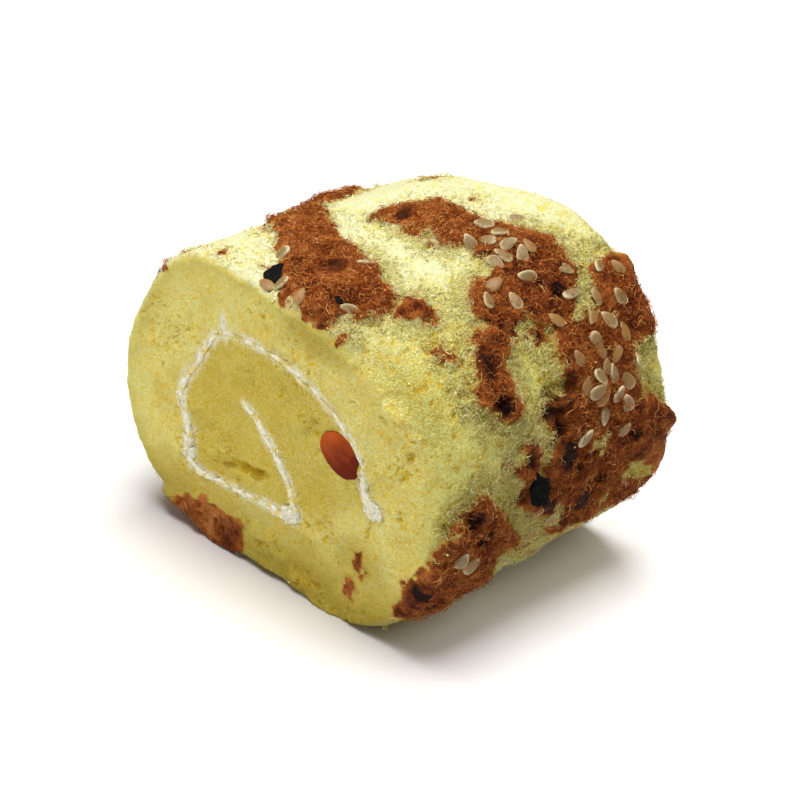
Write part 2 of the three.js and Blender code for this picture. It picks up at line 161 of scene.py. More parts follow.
# Places where the floss is a smoother, lighter amber: degrees, y, radius, share.
AMBER = (
    (352, 20.5, 6.5, 0.9), (46, 21, 4, 0.7), (80, -12, 5, 0.5), (98, -9, 4, 0.4), (232, -19, 9, 0.8),
    (340, 10, 4, 0.6), (20, 14, 4, 0.4), (62, 11, 3, 0.4), (190, 18, 4, 0.6), (111, -5, 6, 0.6),
    (90, 6, 7, 0.35), (100, -13, 4, 0.4),
)

# Places inside the floss where pale or golden sponge shows through: degrees, y, radius.
WINDOWS = (
    (353, 14.5, 2.6), (350, 17, 1.8), (8, 7, 1.4), (346, 10.5, 1.5), (350, 0.5, 1.9),
    (40, 9.5, 1.5), (42, 11.5, 1.6), (38, 15, 1.2), (344, -2.5, 1.7), (350, -17.5, 1.2),
)

# Sesame seeds: degrees, y, heading of the tip, and how far it is soaked brown. Headings
# turn from the roll's length towards growing degrees.
SEEDS = (
    (68, 4.2, 78, 0.3), (66, 6, 112, 0.4), (66, 8, -56, 0.3), (69, 13.3, -36, 0.4),
    (62, 7.4, -11, 0.3), (58, 7.8, 56, 0.2), (59, 9.5, 83, 0.9), (60, 5.6, 100, 0.4),
    (59, 3.8, -95, 0.3), (50, 11.3, -60, 0.4), (44, 9.5, -4, 0.4), (52, 5.4, 140, 0.2),
    (54, 1, 5, 0.8), (51, -1.8, 67, 0.5), (48, 1.4, 73, 0.5), (40, 5.2, 112, 0.8),
    (71, 8.1, 113, 0.3), (47, 16, -154, 0.3), (45, 18.8, 96, 0.8), (41, 13.4, -113, 0.6),
    (39, 16.1, 106, 0.5), (35, 13, 103, 0.4), (31, 14.8, 75, 0.9), (32, 9.5, -77, 0.5),
    (37, 10.5, -152, 0.8), (24, 7.8, -70, 0.1), (25, 10, 72, 0.6), (23, 10.8, 84, 0.1),
    (20, 12.9, 101, 0.6), (18, 10.5, 43, 0.3), (15, 11.7, 106, 0.3), (14, 8, -116, 0.3),
    (8, 11.3, 58, 0.6), (11, 3.9, 28, 0), (19, 7.7, 36, 0.9), (21, 7, 24, 0.5),
    (23, 5.5, 58, 0.9), (27, 12, -118, 0.9), (24, 15.1, -173, 0.4), (30, 5.5, 100, 0.7),
    (29, 9.6, 124, 0.9), (100, -14.2, 149, 0.3), (88, -19.4, 136, 0.1), (92, -20.3, 90, 0.8),
    (79, -20, 19, 0.9), (66, -17.7, 105, 0.2), (78, -9.3, -64, 0.4), (13, -9.4, -144, 0.7),
    (351, -17.2, 67, 0.1), (348, -15.5, 35, 0.5), (354, -3.7, -108, 0.8), (350, -0.9, 90, 0.6),
    (344, -2.6, 79, 0.8),
)

# Seeds scattered elsewhere: degrees, y, half spread round, half spread along, how many.
SEED_CLUSTERS = ((143, 9, 5, 5, 5), (183, -6, 6, 5, 6), (198, 16, 4, 3, 4))

# Seaweed flakes: degrees, y, length, width, heading.
SEAWEED = (
    (93, -18.5, 3.4, 2.8, 20), (2.5, -4.5, 4.6, 2.9, 62), (69, -18, 1.5, 1, 60),
    (148, 12, 3, 2.2, 130), (190, -9, 2.4, 1.8, 40),
)

# The cream's lines through the section, from the outer end round to the sheet's tip, and
# its half widths, evenly spaced along each line.
OUTER_WIDTHS = (0.5, 0.2, 0.15, 0.16, 0.18, 0.15, 0.24, 0.26, 0.3, 0.42, 0.5, 0.28, 0.24, 0.36, 0.5)
INNER_WIDTHS = (0.16, 0.36, 0.5, 0.36, 0.26, 0.36, 0.6)
OUTER_CREAM: Outline = (
    (19.6, -1.2), (18.4, 1.2), (17.7, 6.2), (14.6, 10.2), (10.6, 13.3), (5.8, 15.3), (0.5, 16.2),
    (-5, 16.3), (-8.9, 15.9), (-11.8, 13.2), (-15.4, 7.6), (-18.4, 2.6), (-18.6, -1.2),
    (-17.8, -5), (-18.2, -9), (-16.4, -11.8), (-12, -11.5), (-6.5, -11.3), (-1, -10.9),
    (3.4, -11.2),
)
INNER_CREAM: Outline = (
    (-5.1, 5.1), (-2.4, 2.9), (0, 0.2), (2.2, -3.4), (3.7, -6.6), (4.4, -10.6),
)
SEAM: Outline = ((19.9, -2), (18.6, -7), (17, -11.5), (15.6, -17), (14.2, -28))

# Pools where more cream gathered: x, z, half width, half height.
CREAM_POOLS = (
    (20, -1.1, 1.7, 1.5), (3.2, -10.4, 1.9, 1.3), (-18, -9.4, 1.2, 1.5), (-8.8, 16.9, 0.4, 1.5),
    (-18.9, 0.4, 0.9, 1.1),
)

# Holes torn in the near face: x, z, half width, half height, turn in degrees, depth.
FACE_HOLES = (
    (-5, -6.4, 5.4, 1.6, 12, 1.6), (-9.2, -7.9, 1.6, 0.9, 20, 0.9), (26.4, 10.9, 0.8, 1.7, -25, 0.7),
    (25.4, 7, 0.6, 1.5, -10, 0.6), (-16.6, 12.6, 0.9, 0.6, 30, 0.45), (-0.7, 21.8, 1.1, 0.6, 0, 0.45),
    (16.5, 15.4, 0.9, 0.6, 40, 0.5), (-22.5, 4, 0.8, 0.5, 70, 0.4), (8.5, -20.5, 1.3, 0.7, 15, 0.5),
    (-3, -18.6, 1, 0.6, -10, 0.4), (12.4, -3.4, 0.7, 0.5, 0, 0.35), (22.5, 15.4, 1, 0.6, -40, 0.5),
)


# --- Repeatable noise ---


def lattice_value(cells: Array, seed: int) -> Array:
    """Repeatable numbers from 0 to 1, one for each whole-number cell.

    Args:
        cells: Whole-number places, in rows of three.
        seed: Which stream of numbers to read.

    Returns:
        One number for each row.
    """
    whole = cells.astype(np.int64).astype(np.uint32)
    mixed = whole[..., 0] * np.uint32(0x8DA6B343)
    mixed ^= whole[..., 1] * np.uint32(0xD8163841)
    mixed ^= whole[..., 2] * np.uint32(0xCB1AB31F)
    mixed ^= np.uint32((seed * 0x9E3779B9) & 0xFFFFFFFF)
    for shift, factor in ((15, 0x2C1B3C6D), (12, 0x297A2D39)):
        mixed ^= mixed >> np.uint32(shift)
        mixed *= np.uint32(factor)
    mixed ^= mixed >> np.uint32(15)
    return mixed / 4294967296.0


def soft_noise(points: Array, size: float, seed: int) -> Array:
    """Smooth noise from -1 to 1 with features of one size.

    Args:
        points: Places in rows of three.
        size: Size of a feature.
        seed: Which noise it is.

    Returns:
        One number for each place.
    """
    place = points / size
    base = np.floor(place)
    part = place - base
    part = part * part * (3 - 2 * part)
    total = np.zeros(len(points))
    for corner in product((0, 1), repeat=3):
        step = np.array(corner)
        weight = np.where(step == 1, part, 1 - part).prod(axis=1)
        total += weight * lattice_value(base + step, seed)
    return 2 * total - 1


def rough_noise(points: Array, size: float, seed: int, layers: int = 3) -> Array:
    """Layered noise from about -1 to 1, each layer half as large and half as strong.

    Args:
        points: Places in rows of three.
        size: Size of the largest features.
        seed: Which noise it is.
        layers: How many layers.

    Returns:
        One number for each place.
    """
    total = np.zeros(len(points))
    for layer in range(layers):
        total += soft_noise(points, size / 2**layer, seed + layer) / 2**layer
    return total / (2 - 0.5 ** (layers - 1))


def cell_noise(points: Array, size: float, seed: int) -> tuple[Array, Array]:
    """Gap between the two nearest cell centres, and a number for the nearest cell.

    Args:
        points: Places in rows of three.
        size: Size of a cell.
        seed: Which cells they are.

    Returns:
        The gap as a share of the cell size, near 0 on a wall between cells, and a number
        from 0 to 1 that is the same all over a cell.
    """
    place = points / size
    base = np.floor(place)
    nearest = np.full(len(points), 9.0)
    second = np.full(len(points), 9.0)
    label = np.zeros(len(points))
    for shift in product((-1, 0, 1), repeat=3):
        cell = base + np.array(shift)
        centre = cell + np.stack([lattice_value(cell, seed + k) for k in range(3)], axis=-1)
        gap = np.linalg.norm(place - centre, axis=1)
        closer = gap < nearest
        second = np.where(closer, nearest, np.minimum(second, gap))
        label = np.where(closer, lattice_value(cell, seed + 3), label)
        nearest = np.minimum(nearest, gap)
    return second - nearest, label


def ease(value: Array) -> Array:
    """Smooth step from 0 to 1."""
    share = np.clip(value, 0, 1)
    return share * share * (3 - 2 * share)


def ramp(value: Array, start: float, end: float) -> Array:
    """Smooth step of a value from 0 at the start to 1 at the end."""
    return ease((value - start) / (end - start))


def unit(vectors: Array) -> Array:
    """Vectors in rows, each made one long."""
    return vectors / np.maximum(np.linalg.norm(vectors, axis=-1, keepdims=True), 1e-9)


def baked_smooth(degrees: Array) -> Array:
    """How smoothly the skin has baked on top, from 0 to 1."""
    return ramp(degrees, 84, 98) * (1 - ramp(degrees, 200, 250))


def turn_between(start: Array | float, end: Array | float) -> Array:
    """Shortest signed turn from one direction to another, in degrees."""
    return (np.asarray(end) - start + 540) % 360 - 180


def depth_in(outline: Array, x: Array, y: Array) -> Array:
    """Distance from places to a closed outline, positive inside it.

    Args:
        outline: Corners in rows of two.
        x: First coordinate of the places.
        y: Second coordinate of the places.

    Returns:
        The distance of each place.
    """
    nearest = np.full(np.shape(x), np.inf)
    inside = np.zeros(np.shape(x), bool)
    for (ax, ay), (bx, by) in zip(np.roll(outline, 1, axis=0), outline):
        along = ((x - ax) * (bx - ax) + (y - ay) * (by - ay)) / ((bx - ax) ** 2 + (by - ay) ** 2)
        share = np.clip(along, 0, 1)
        nearest = np.minimum(nearest, np.hypot(x - ax - share * (bx - ax), y - ay - share * (by - ay)))
        crosses = (ay > y) != (by > y)
        rise = by - ay if by != ay else 1.0
        inside ^= crosses & (x < ax + (bx - ax) * (y - ay) / rise)
    return np.where(inside, nearest, -nearest)


# --- The roll's form ---


@dataclass(frozen=True)
class RollForm:
    """The rolled sheet's outer form: uneven section, floss relief and rounded rims."""

    length: float = 43.0
    axis_height: float = 24.0
    axis_drift: float = 5.3
    centre_x: float = -1.3
    near_radii: tuple[float, ...] = (
        32, 34.5, 29, 26.5, 30.8, 30.2, 31.7, 32.2, 26.8, 23.6, 28.5, 31.1,
    )
    far_radii: tuple[float, ...] = (
        33.1, 34, 33.5, 28.5, 28, 30.5, 31, 30.5, 27, 25, 28.8, 31.2,
    )
    mean_radius: float = 30.0
    crisp_rim: float = 1.5
    soft_rim: float = 4.5
    soft_towards: float = 28.0
    far_rim: float = 2.0
    floss_lift: float = 1.1
    floss_lump: float = 0.5
    floss_edge: float = 1.6
    seat_reach: float = 0.8

    @property
    def half(self) -> float:
        """Half of the roll's length."""
        return self.length / 2

    @property
    def per_degree(self) -> float:
        """Millimetres along the skin for each degree round it."""
        return math.radians(self.mean_radius)

    def ring_value(self, values: Sequence[float], degrees: Array) -> Array:
        """Cubic through evenly spaced values on a closed ring.

        Args:
            values: The values, evenly spaced from 0 degrees.
            degrees: Directions to read.

        Returns:
            The value in each direction.
        """
        ring = np.array(values, float)
        count = len(ring)
        place = (degrees * count / 360) % count
        i = np.floor(place).astype(int)
        f = place - i
        a, b, c, d = (ring[(i + k + count) % count] for k in (-1, 0, 1, 2))
        return b + 0.5 * f * (c - a + f * (2 * a - 5 * b + 4 * c - d + f * (3 * (b - c) + d - a)))

    def patch_depth(self, outline: Outline, degrees: Array, y: Array) -> Array:
        """Millimetres from skin places to a patch's outline, positive inside.

        Args:
            outline: The patch, as degrees and millimetres along.
            degrees: Directions of the places.
            y: Their distances along the roll.

        Returns:
            The distance of each place.
        """
        corners = np.array(outline, float)
        start = corners[0, 0]
        corners[:, 0] = turn_between(start, corners[:, 0]) * self.per_degree
        return depth_in(corners, turn_between(start, degrees) * self.per_degree, y)

    def floss_depth(self, degrees: Array, y: Array) -> Array:
        """Millimetres to the edge of the nearest floss patch, positive inside one."""
        return np.max([self.patch_depth(o, degrees, y) for o in FLOSS_PATCHES], axis=0)

    def reach(self, degrees: float, y: float, at_degrees: Array, at_y: Array) -> Array:
        """Millimetres along the skin from one place to others."""
        return np.hypot(turn_between(degrees, at_degrees) * self.per_degree, at_y - y)

    def spot(self, place: Sequence[float], degrees: Array, y: Array, sharp: float = 1.0) -> Array:
        """Round spot on the skin, 1 at its centre and 0 from its radius outwards.

        Args:
            place: Its degrees, y and radius.
            degrees: Directions of the places to read.
            y: Their distances along the roll.
            sharp: More than 1 for a broader middle and a steeper edge.

        Returns:
            The spot's share at each place.
        """
        at, along, radius = place
        return ease(sharp * (1 - self.reach(at, along, degrees, y) / radius))

    def relief(self, degrees: Array, y: Array) -> Array:
        """How far the skin stands out from the plain section.

        Args:
            degrees: Directions of the places.
            y: Their distances along the roll.

        Returns:
            The height of each place.
        """
        a = np.radians(degrees)
        ripple = 0.5 * np.sin(17 * a + 0.9 * y)
        ripple += 0.3 * np.sin(9 * a - 1.3 * y + 1.7)
        ripple += 0.2 * np.cos(26 * a + 0.4 * y + 0.6)
        floss = ease((self.floss_depth(degrees, y) + self.floss_edge / 2) / self.floss_edge)
        height = floss * (self.floss_lift + self.floss_lump * ripple)
        for *place, rise in SWELLS:
            height += rise * self.spot(place, degrees, y)
        return height

    def near_rim(self, degrees: Array) -> Array:
        """Rounding of the near edge, which has crumbled soft on one side."""
        facing = np.maximum(0, np.cos(np.radians(degrees - self.soft_towards)))
        return self.crisp_rim + (self.soft_rim - self.crisp_rim) * facing**4

    def centre(self, y: Array) -> Array:
        """Centre of the section at distances along the roll."""
        x = self.centre_x + self.axis_drift * y / self.length
        return np.stack([x, y, np.full_like(x, self.axis_height)], axis=-1)

    def from_section(self, flat: Array, y: Array) -> Array:
        """Points of places on the section, in rows of two, at distances along the roll."""
        point = self.centre(y)
        point[..., (0, 2)] += flat
        return point

    def to_section(self, points: Array, y: Array | None = None) -> tuple[Array, Array]:
        """Places of points on the section.

        Args:
            points: The points, in rows of three.
            y: Where along the roll its centre is taken, or None for the near face.

        Returns:
            x and z from the centre.
        """
        centre = self.centre(np.full(len(points), -self.half) if y is None else y)
        return points[:, 0] - centre[:, 0], points[:, 2] - centre[:, 2]

    def skin_point(self, degrees: Array, y: Array, inset: Array | float = 0.0) -> Array:
        """Points of the skin, drawn in by an inset and never below the table.

        Args:
            degrees: Directions round the section.
            y: Distances along the roll.
            inset: How far inside the skin.

        Returns:
            Points in rows of three.
        """
        share = y / self.length + 0.5
        near = self.ring_value(self.near_radii, degrees)
        plain = near + (self.ring_value(self.far_radii, degrees) - near) * share
        radius = np.maximum(plain + self.relief(degrees, y) - inset, 0)
        a = np.radians(degrees)
        point = self.centre(y)
        point[..., 0] += radius * np.cos(a)
        point[..., 2] = np.maximum(point[..., 2] + radius * np.sin(a), 0)
        return point

    def seat(self, degrees: float, y: float) -> tuple[Array, Array, Array, Array]:
        """A point of the skin, and the directions round, along and out of it there.

        Args:
            degrees: Its direction round the section.
            y: Its distance along the roll.

        Returns:
            The point and three unit vectors.
        """
        turn = math.degrees(self.seat_reach / self.mean_radius)
        at = degrees + np.array([0, turn, -turn, 0, 0])
        along = y + np.array([0, 0, 0, self.seat_reach, -self.seat_reach])
        here, onward, back, farther, nearer = self.skin_point(at, along)
        around = unit(onward - back)
        out = unit(np.cross(unit(farther - nearer), around))
        return here, around, np.cross(around, out), out

    def wrap(self, degrees: Array, share: Array) -> tuple[Array, Array]:
        """Places on the way over the near rim, along the skin and over the far rim.

        Args:
            degrees: Directions round the section.
            share: 0 at the edge of the near face, 1 at the edge of the far one.

        Returns:
            Distance along the roll and inset from the skin.
        """
        near = self.near_rim(degrees)
        far = np.full_like(near, self.far_rim)
        arc_near, arc_far = near * math.pi / 2, far * math.pi / 2
        straight = self.length - near - far
        way = share * (arc_near + straight + arc_far)
        left = arc_near + straight + arc_far - way
        over_near, over_far = way < arc_near, left < arc_far
        turn = np.where(over_near, way / near, np.where(over_far, left / far, math.pi / 2))
        rim = np.where(over_near, near, np.where(over_far, far, 0))
        level = np.where(over_far, self.half, -self.half)
        side = np.where(over_far, -1.0, 1.0)
        y = level + side * rim * (1 - np.cos(turn))
        middle = ~(over_near | over_far)
        y = np.where(middle, -self.half + near + way - arc_near, y)
        return y, rim * (1 - np.sin(turn))


@dataclass(frozen=True)
class SectionLine:
    """A smooth open line through points of the section, with a half width along it."""

    corners: Outline
    widths: tuple[float, ...] = (0.0,)
    seed: int = 91
    unevenness: float = 0.45
    pieces: int = 24

    def stations(self, step: float) -> tuple[Array, Array, Array]:
        """Evenly spaced places on the line, its direction and its half width at each.

        Args:
            step: Rough distance between places.

        Returns:
            Places and unit directions in rows of two, and half widths.
        """
        knots = np.array(self.corners, float)
        knots = np.vstack([2 * knots[0] - knots[1], knots, 2 * knots[-1] - knots[-2]])
        places = []
        for i in range(1, len(knots) - 2):
            p = knots[i - 1 : i + 3]
            steps = np.sqrt(np.linalg.norm(np.diff(p, axis=0), axis=1))
            t0, t1, t2, t3 = np.append(0, np.cumsum(steps))
            t = np.linspace(t1, t2, self.pieces, endpoint=False)[:, None]
            a1 = ((t1 - t) * p[0] + (t - t0) * p[1]) / (t1 - t0)
            a2 = ((t2 - t) * p[1] + (t - t1) * p[2]) / (t2 - t1)
            a3 = ((t3 - t) * p[2] + (t - t2) * p[3]) / (t3 - t2)
            b1 = ((t2 - t) * a1 + (t - t0) * a2) / (t2 - t0)
            b2 = ((t3 - t) * a2 + (t - t1) * a3) / (t3 - t1)
            places.append(((t2 - t) * b1 + (t - t1) * b2) / (t2 - t1))
        fine = np.vstack([*places, knots[-2]])
        way = np.append(0, np.cumsum(np.linalg.norm(np.diff(fine, axis=0), axis=1)))
        even = np.linspace(0, way[-1], max(int(way[-1] / step), 2) + 1)
        at = np.stack([np.interp(even, way, fine[:, k]) for k in (0, 1)], axis=-1)
        width = np.interp(even / way[-1], np.linspace(0, 1, len(self.widths)), self.widths)
        flat = np.column_stack([at, np.zeros(len(at))])
        width = width * (1 + self.unevenness * rough_noise(flat, 1.5, self.seed))
        return at, unit(np.gradient(at, axis=0)), width

    def gap(self, x: Array, z: Array) -> Array:
        """Distance from places of the section to the line's edge, less than 0 within it.

        Args:
            x: Places across the section.
            z: Places up the section.

        Returns:
            The distance of each place.
        """
        at, _, width = self.stations(0.4)
        nearest = np.full(np.shape(x), np.inf)
        for (ax, az), half in zip(at, width):
            nearest = np.minimum(nearest, np.hypot(x - ax, z - az) - half)
        return nearest


# --- Meshes ---


@dataclass
class Shell:
    """A mesh in the making: points, faces and named values for each point."""

    points: Array
    quads: Array
    triangles: Array = field(default_factory=lambda: np.zeros((0, 3), int))
    values: dict[str, Array] = field(default_factory=dict)

    @classmethod
    def joined(cls, shells: Sequence[Shell]) -> Shell:
        """One shell that holds several, which stay closed bodies of their own.

        Args:
            shells: The shells, with the same named values.

        Returns:
            The joined shell.
        """
        starts = np.cumsum([0] + [len(s.points) for s in shells])
        return cls(
            np.vstack([s.points for s in shells]),
            np.vstack([s.quads + start for s, start in zip(shells, starts)]),
            np.vstack([s.triangles + start for s, start in zip(shells, starts)]),
            {k: np.concatenate([s.values[k] for s in shells]) for k in shells[0].values},
        )

    def to_object(self, name: str) -> Piece:
        """Makes a smooth-shaded Blender object in the scene, in metres.

        Args:
            name: The object's name.

        Returns:
            The object.
        """
        mesh = bpy.data.meshes.new(name)
        mesh.vertices.add(len(self.points))
        mesh.vertices.foreach_set("co", (self.points * MM).astype(np.float32).ravel())
        corners = np.concatenate([self.quads.ravel(), self.triangles.ravel()]).astype(np.int32)
        sizes = np.repeat([4, 3], [len(self.quads), len(self.triangles)])
        mesh.loops.add(len(corners))
        mesh.loops.foreach_set("vertex_index", corners)
        mesh.polygons.add(len(sizes))
        mesh.polygons.foreach_set("loop_start", (np.cumsum(sizes) - sizes).astype(np.int32))
        mesh.polygons.foreach_set("use_smooth", np.ones(len(sizes), bool))
        mesh.update(calc_edges=True)
        for key, value in self.values.items():
            layer = mesh.attributes.new(key, "FLOAT", "POINT")
            layer.data.foreach_set("value", np.asarray(value, np.float32))
        piece = bpy.data.objects.new(name, mesh)
        bpy.context.scene.collection.objects.link(piece)
        return piece


def tube_quads(bands: int, sides: int) -> Array:
    """Quads between closed rings of points that follow one another.

    Args:
        bands: How many bands of quads, one fewer than the rings.
        sides: How many points each ring has.

    Returns:
        The quads.
    """
    band, side = np.meshgrid(np.arange(bands), np.arange(sides), indexing="ij")
    here, beside = band * sides + side, band * sides + (side + 1) % sides
    return np.stack([here, here + sides, beside + sides, beside], axis=-1).reshape(-1, 4)


def grid_quads(number: Array) -> Array:
    """Quads over a grid of point numbers."""
    corners = [number[:-1, :-1], number[1:, :-1], number[1:, 1:], number[:-1, 1:]]
    return np.stack(corners, axis=-1).reshape(-1, 4)


def fan(ring: Array, hub: int, flipped: bool = False) -> Array:
    """Triangles from a closed ring of points to a hub.

    Args:
        ring: Numbers of the ring's points, in order.
        hub: Number of the hub.
        flipped: Whether they face the other way.

    Returns:
        The triangles.
    """
    made = np.stack([ring, np.roll(ring, -1), np.full_like(ring, hub)], axis=-1)
    return made[:, (1, 0, 2)] if flipped else made


def dress(piece: Piece, material: Material) -> None:
    """Gives a piece its one material and lets it ride with the roll."""
    piece.data.materials.clear()
    piece.data.materials.append(material)
    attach(piece, BODY)


def read_normals(piece: Piece) -> Array:
    """Normals at the points of an object's mesh, in rows of three."""
    normals = np.zeros(len(piece.data.vertices) * 3, np.float32)
    piece.data.vertex_normals.foreach_get("vector", normals)
    return normals.reshape(-1, 3).astype(float)


class Joint(Enum):
    """What is done with a closed solid that meets a piece."""

    CUT_AWAY = "DIFFERENCE"
    FUSED = "UNION"


def carve(piece: Piece, tool: Piece, joint: Joint = Joint.CUT_AWAY) -> None:
    """Cuts one closed piece by another, or fuses them, and deletes the tool.

    Args:
        piece: The piece to change.
        tool: The closed solid to work with.
        joint: Whether the tool is cut away or fused on.
    """
    step = piece.modifiers.new("carve", "BOOLEAN")
    step.operation, step.solver, step.object = joint.value, "MANIFOLD", tool
    shaped = piece.evaluated_get(bpy.context.evaluated_depsgraph_get())
    mesh = bpy.data.meshes.new_from_object(shaped)
    piece.modifiers.clear()
    old, piece.data = piece.data, mesh
    bpy.data.meshes.remove(old)
    spent = tool.data
    bpy.data.objects.remove(tool)
    bpy.data.meshes.remove(spent)


def ball_template(finer: int) -> tuple[Array, Array]:
    """Points and triangles of a round ball of radius one.

    Args:
        finer: How many times its 20 faces are split in four.

    Returns:
        The points and the triangles.
    """
    gold = (1 + math.sqrt(5)) / 2
    points = [(-1, gold, 0), (1, gold, 0), (-1, -gold, 0), (1, -gold, 0), (0, -1, gold), (0, 1, gold),
              (0, -1, -gold), (0, 1, -gold), (gold, 0, -1), (gold, 0, 1), (-gold, 0, -1), (-gold, 0, 1)]
    faces = [(0, 11, 5), (0, 5, 1), (0, 1, 7), (0, 7, 10), (0, 10, 11), (1, 5, 9), (5, 11, 4),
             (11, 10, 2), (10, 7, 6), (7, 1, 8), (3, 9, 4), (3, 4, 2), (3, 2, 6), (3, 6, 8),
             (3, 8, 9), (4, 9, 5), (2, 4, 11), (6, 2, 10), (8, 6, 7), (9, 8, 1)]
    spots = [tuple(p) for p in unit(np.array(points, float))]
    for _ in range(finer):
        middles: dict[tuple[int, int], int] = {}
        split = []
        for face in faces:
            mids = []
            for a, b in zip(face, face[1:] + face[:1]):
                key = (min(a, b), max(a, b))
                if key not in middles:
                    middles[key] = len(spots)
                    spots.append(tuple(unit(np.array(spots[a]) + np.array(spots[b]))))
                mids.append(middles[key])
            (a, b, c), (ab, bc, ca) = face, mids
            split += [(a, ab, ca), (b, bc, ab), (c, ca, bc), (ab, bc, ca)]
        faces = split
    return np.array(spots), np.array(faces)


def lumps(centres: Array, radii: Array, squash: Array, seed: int, uneven: float) -> Shell:
    """Many small uneven lumps in one shell.

    Args:
        centres: Their centres, in rows of three.
        radii: Their radii.
        squash: Their stretch along X, Y and Z, in rows of three.
        seed: Which unevenness they get.
        uneven: How uneven they are, as a share of the radius.

    Returns:
        The shell, with a "tint" from 0 to 1 for each lump.
    """
    ball, faces = ball_template(1)
    count = len(centres)
    spread = ball[None] + np.arange(count)[:, None, None] * 7.3
    bulge = 1 + uneven * soft_noise(spread.reshape(-1, 3), 0.7, seed).reshape(count, -1, 1)
    points = centres[:, None] + ball[None] * bulge * radii[:, None, None] * squash[:, None]
    triangles = faces[None] + (np.arange(count) * len(ball))[:, None, None]
    tints = lattice_value(np.stack([np.arange(count)] * 3, axis=-1), seed + 9)
    return Shell(
        points.reshape(-1, 3), np.zeros((0, 4), int), triangles.reshape(-1, 3),
        {"tint": np.repeat(tints, len(ball))},
    )


# --- Shader helpers ---


def shade(red: int, green: int, blue: int) -> Colour:
    """Scene-linear colour from the 0 to 255 values that a colour picker shows."""
    parts = [c / 255 for c in (red, green, blue)]
    linear = [c / 12.92 if c <= 0.04045 else ((c + 0.055) / 1.055) ** 2.4 for c in parts]
    return linear[0], linear[1], linear[2], 1.0


class Flow:
    """A shader value: an output socket with the usual arithmetic."""

    def __init__(self, paint: Paint, socket: bpy.types.NodeSocket) -> None:
        """Wraps an output socket of a material's nodes."""
        self.paint = paint
        self.socket = socket

    def __add__(self, other: Flow | float) -> Flow:
        """Sum of two values."""
        return self.paint.maths("ADD", self, other)

    def __sub__(self, other: Flow | float) -> Flow:
        """Difference of two values."""
        return self.paint.maths("SUBTRACT", self, other)

    def __mul__(self, other: Flow | float) -> Flow:
        """Product of two values."""
        return self.paint.maths("MULTIPLY", self, other)

    def __abs__(self) -> Flow:
        """Size of this value without its sign."""
        return self.paint.maths("ABSOLUTE", self, 0.0)

    def __rsub__(self, other: float) -> Flow:
        """Number minus this value."""
        return self.paint.maths("SUBTRACT", other, self)

    __radd__ = __add__
    __rmul__ = __mul__

    def rising(self, start: float, end: float) -> Flow:
        """This value as a smooth step from 0 at the start to 1 at the end."""
        settings = {"interpolation_type": "SMOOTHSTEP"}
        made = self.paint.node("ShaderNodeMapRange", settings, {0: self, 1: start, 2: end})
        return Flow(self.paint, made.outputs[0])


Inputs = dict[int | str, "Flow | float | Colour | tuple[float, ...]"]


